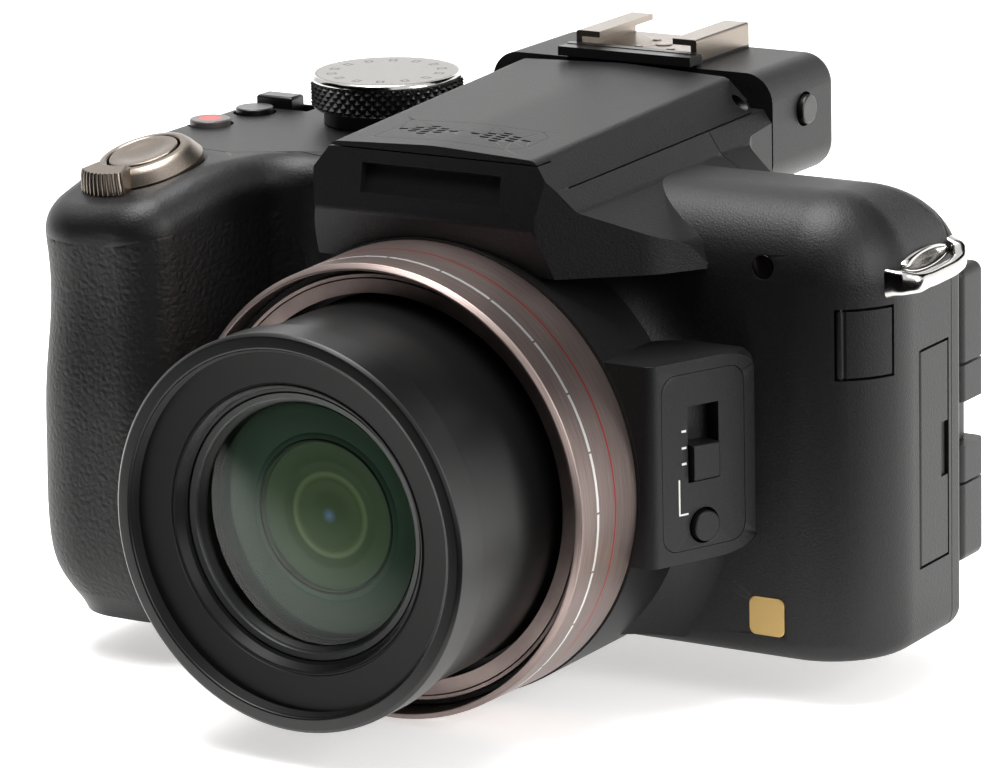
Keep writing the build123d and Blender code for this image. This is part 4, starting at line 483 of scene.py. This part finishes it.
def lever(count=1080):
    """Rings of a radius and height, which swell and lift by a tab's share over 60 degrees, plus flutes."""
    turn = np.linspace(0, TAU, count, endpoint=False)
    off = np.abs((turn - TAB_TURN + math.pi) % TAU - math.pi)
    tab = np.clip((TAB_HALF - off) / TAB_RAMP, 0, 1)
    ridge = FLUTE_DEPTH * np.abs(np.sin((turn - TAB_TURN) * math.pi / FLUTE))
    # radius, height, then the tab's swell, lift and share of the flutes
    rings = [
        (5.6, 0.4, 0, 0, 0), (5.6, 2.25, 0, 0, 0), (5.8, 2.4, 0, 0, 0), (6.3, 2.4, 0.4, 0.9, 0.4),
        (6.75, 2.3, 2.4, 0.9, 1), (7.4, 1.6, 2.2, 0.6, 1), (8.1, 0.6, 1.9, 0.2, 1),
        (8.4, 0.2, 1.75, 0, 1), (8.35, -0.9, 1.6, 0, 0),
    ]
    points = np.empty((len(rings), count, 3))
    for row, (radius, height, swell, lift, flute) in enumerate(rings):
        reach = (radius + tab * (swell + flute * ridge))[:, None]
        z = (height + tab * lift)[:, None]
        around = np.cos(turn)[:, None] * reach * deck_x + np.sin(turn)[:, None] * reach * deck_y
        points[row] = deck_middle + around + z * deck_up
    return points


zoom_ring = surface("lever_cone", lever(), "zoom_lever_body", lever_mat, 35)
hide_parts("zoom_lever")


# Strap lugs: a loop that leans out and down from the side, over a small plate; its front leg is deeper
BAR_DEPTH = 2.3
LEG_EXTRA = 2.2         # the front leg is that much deeper
LEG_SHARE = 0.34        # of the loop, over which the leg thins out to the bar
BAR_HALF = 1.05


def lug(side, edge, count=72):
    """A rounded bar along an arch that sinks as it stands out: 4.5 mm deep in front, then 2.3 mm."""
    route = np.array([
        (-1.6, -10.9, 56.2), (0.6, -10.9, 56.0), (2.3, -9.2, 55.4), (2.6, -6.0, 55.2), (2.6, 0.5, 55.3),
        (2.4, 3.6, 55.7), (1.2, 5.8, 56.8), (-0.8, 6.3, 57.4), (-1.8, 6.3, 57.6),
    ])
    share = np.linspace(0, len(route) - 1.001, count)
    whole = share.astype(int)
    part = (share - whole)[:, None]
    path = route[whole] * (1 - part) + route[whole + 1] * part
    for _ in range(4):
        path[1:-1] = (path[:-2] + 2 * path[1:-1] + path[2:]) / 4
    ahead = np.gradient(path[:, :2], axis=0)
    ahead /= np.linalg.norm(ahead, axis=1)[:, None]
    deep = BAR_DEPTH + LEG_EXTRA * np.clip(1 - np.linspace(0, 1, count) / LEG_SHARE, 0, 1) ** 1.2
    angle = np.linspace(0, TAU, 20, endpoint=False)
    wide = BAR_HALF * np.sign(np.cos(angle)) * np.abs(np.cos(angle)) ** 0.6
    tall = np.sign(np.sin(angle)) * np.abs(np.sin(angle)) ** 0.6
    points = np.empty((count, 20, 3))
    for row in range(count):
        points[row, :, 0] = side * (edge + path[row, 0] + ahead[row, 1] * wide)
        points[row, :, 1] = path[row, 1] - ahead[row, 0] * wide
        points[row, :, 2] = path[row, 2] + 0.9 - deep[row] / 2 * (1 - tall)
    return points


def lug_plate(side, edge):
    """An oval plate behind the loop: half-axes 6.6 and 1.5 mm, 0.5 mm proud, with a rounded rim."""
    angle = np.linspace(0, TAU, 48, endpoint=False)
    rows = []
    for proud, share in ((-0.6, 1.0), (0.25, 1.0), (0.45, 0.93), (0.5, 0.8), (0.35, 0.5), (0.3, 0.01)):
        x = np.full(48, side * (edge + proud))
        y = -2.2 + 6.6 * share * np.cos(angle)
        z = 56.9 + 1.5 * share * np.sin(angle)
        rows.append(np.stack([x, y, z], axis=-1))
    return np.array(rows)


lug_right = surface("strap_lug_right", lug(1, 61.0), "camera_body", chrome_mat, 80)
surface("strap_lug_left", lug(-1, 63.4), "camera_body", chrome_mat, 80)
surface("lug_plate_right", lug_plate(1, 60.9), "camera_body", chrome_mat, 60)
surface("lug_plate_left", lug_plate(-1, 63.5), "camera_body", chrome_mat, 60)
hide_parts("strap_lugs")


# Printed marks on the focus panel: three ticks beside the switch and a bracket to the key
panel_turn = math.atan2(PANEL_END[0] - PANEL_START[0], PANEL_END[1] - PANEL_START[1])
panel_x = np.array([math.sin(panel_turn), math.cos(panel_turn), 0.0])
panel_out = np.array([math.cos(panel_turn), -math.sin(panel_turn), 0.0])


def stroke_on_panel(name, across, height, wide, tall):
    """A thin slab of ink, 0.04 mm proud of the focus panel: two rows of points round its outline."""
    middle = np.array([*PANEL_MIDDLE, height]) + panel_x * across
    upward = np.array([0.0, 0.0, 1.0])
    corners = [(-1, -1), (1, -1), (1, 1), (-1, 1)]
    rows = []
    for proud, share in ((-0.02, 1.0), (0.04, 1.0), (0.04, 0.01)):
        rows.append([
            middle + panel_x * (wide / 2 * a * share) + panel_out * proud + upward * (tall / 2 * b * share)
            for a, b in corners
        ])
    surface(name, np.array(rows), "camera_body", ink_mat, 30)


# name, place along the panel, height, width and height of the stroke
panel_marks = (
    ("tick_high", -3.4, 35.6, 0.8, 0.32), ("tick_middle", -3.4, 33.2, 0.8, 0.32),
    ("tick_low", -3.4, 30.9, 0.8, 0.32), ("bracket_side", -4.3, 26.2, 0.25, 5.0),
    ("bracket_foot", -3.6, 23.6, 1.6, 0.25),
)
for mark in panel_marks:
    stroke_on_panel(*mark)


# Floor, backdrop, light and camera
def card(name, corners, finish_used):
    """A flat four-cornered card of the studio."""
    mesh = bpy.data.meshes.new(name)
    mesh.from_pydata(corners, [], [(0, 1, 2, 3)])
    mesh.materials.append(finish_used)
    made = bpy.data.objects.new(name, mesh)
    bpy.context.scene.collection.objects.link(made)


def standing(name, start, end, foot, top, finish_used):
    """A card that stands upright over a line on the floor, between two heights."""
    card(name, [(*start, foot), (*end, foot), (*end, top), (*start, top)], finish_used)


# White paper under the camera that darkens softly in front of it, outside the picture.
low = cad_box[0][2]
DARK_START = 0.074      # metres from the origin towards the viewer
DARK_RAMP = 0.05
TO_VIEWER = (0.526, -0.851)
floor_mat, tree, shader = material("white_sweep_paper", "#f6f5f4", 1.0, Specular_IOR_Level=0.0)
place = add(tree, "ShaderNodeTexCoord")
split = add(tree, "ShaderNodeSeparateXYZ", {}, Vector=place.outputs["Object"])
sideways = number(tree, "MULTIPLY", split.outputs["X"], TO_VIEWER[0])
forward = number(tree, "MULTIPLY", split.outputs["Y"], TO_VIEWER[1])
past = number(tree, "SUBTRACT", number(tree, "ADD", sideways, forward), DARK_START)
ramp = add(tree, "ShaderNodeValToRGB", {}, Fac=number(tree, "MULTIPLY", past, 1 / DARK_RAMP))
ramp.color_ramp.interpolation = "EASE"
ramp.color_ramp.elements[0].color = colour("#f6f5f4")
ramp.color_ramp.elements[1].color = colour("#020202")
tree.links.new(ramp.outputs["Color"], shader.inputs["Base Color"])
tree.links.new(ramp.outputs["Color"], shader.inputs["Emission Color"])
shader.inputs["Emission Strength"].default_value = 0.53
card("floor", [(-6.0, -6.0, low), (6.0, -6.0, low), (6.0, 6.0, low), (-6.0, 6.0, low)], floor_mat)

world = bpy.data.worlds.new("studio")
bpy.context.scene.world = world
world.use_nodes = True
world.node_tree.nodes["Background"].inputs["Color"].default_value = (1.0, 1.0, 1.0, 1.0)
world.node_tree.nodes["Background"].inputs["Strength"].default_value = 1.0

# Black flags keep the white room out of the front, the left and the hood's flank.
flag_mat, tree, shader = material("black_felt", "#050505", 1.0, Specular_IOR_Level=0.0)
standing("flag_front", (-3.4, -2.4), (2.0, -2.6), low, 3.6, flag_mat)
standing("flag_left", (-1.9, -2.6), (-2.5, -0.2), low, 2.4, flag_mat)
standing("flag_back", (-0.4, 2.09), (4.8, 2.09), 1.1, 4.2, flag_mat)
wall_mat, tree, shader = material("grey_backdrop_paper", "#f6f5f4", 0.9, Emission_Strength=0.75)
shader.inputs["Emission Color"].default_value = (1.0, 1.0, 1.0, 1.0)
standing("wall_back", (-4.8, 2.1), (4.8, 2.1), low, 1.1, wall_mat)


def area_light(name, place, aim, size, power):
    """A soft rectangular light."""
    data = bpy.data.lights.new(name, "AREA")
    data.shape = "RECTANGLE"
    data.size = size[0]
    data.size_y = size[1]
    data.energy = power
    lamp = bpy.data.objects.new(name, data)
    bpy.context.scene.collection.objects.link(lamp)
    lamp.location = place
    lamp.rotation_euler = (Vector(aim) - Vector(place)).to_track_quat("-Z", "Y").to_euler()


area_light("key", (-0.15, -0.1, 1.2), (0, 0, 0.03), (0.9, 0.7), 22)
area_light("side", (1.25, -0.15, 0.45), (0, 0, 0.03), (0.5, 0.9), 9)

back = Vector((0.509, -0.824, 0.2475)).normalized()
right = Vector((0.8537, 0.5202, -0.0228)).normalized()
up = back.cross(right).normalized()
right = up.cross(back).normalized()
camera_data = bpy.data.cameras.new("camera")
camera = bpy.data.objects.new("camera", camera_data)
bpy.context.scene.collection.objects.link(camera)
camera_data.lens = 198.2
camera_data.sensor_width = 36.0
camera.matrix_world = Matrix((
    (right.x, up.x, back.x, 0.4046), (right.y, up.y, back.y, -0.6729), (right.z, up.z, back.z, 0.2320),
    (0, 0, 0, 1),
))
camera_data.clip_end = 20
bpy.context.scene.camera = camera
bpy.context.scene.view_settings.view_transform = "Standard"
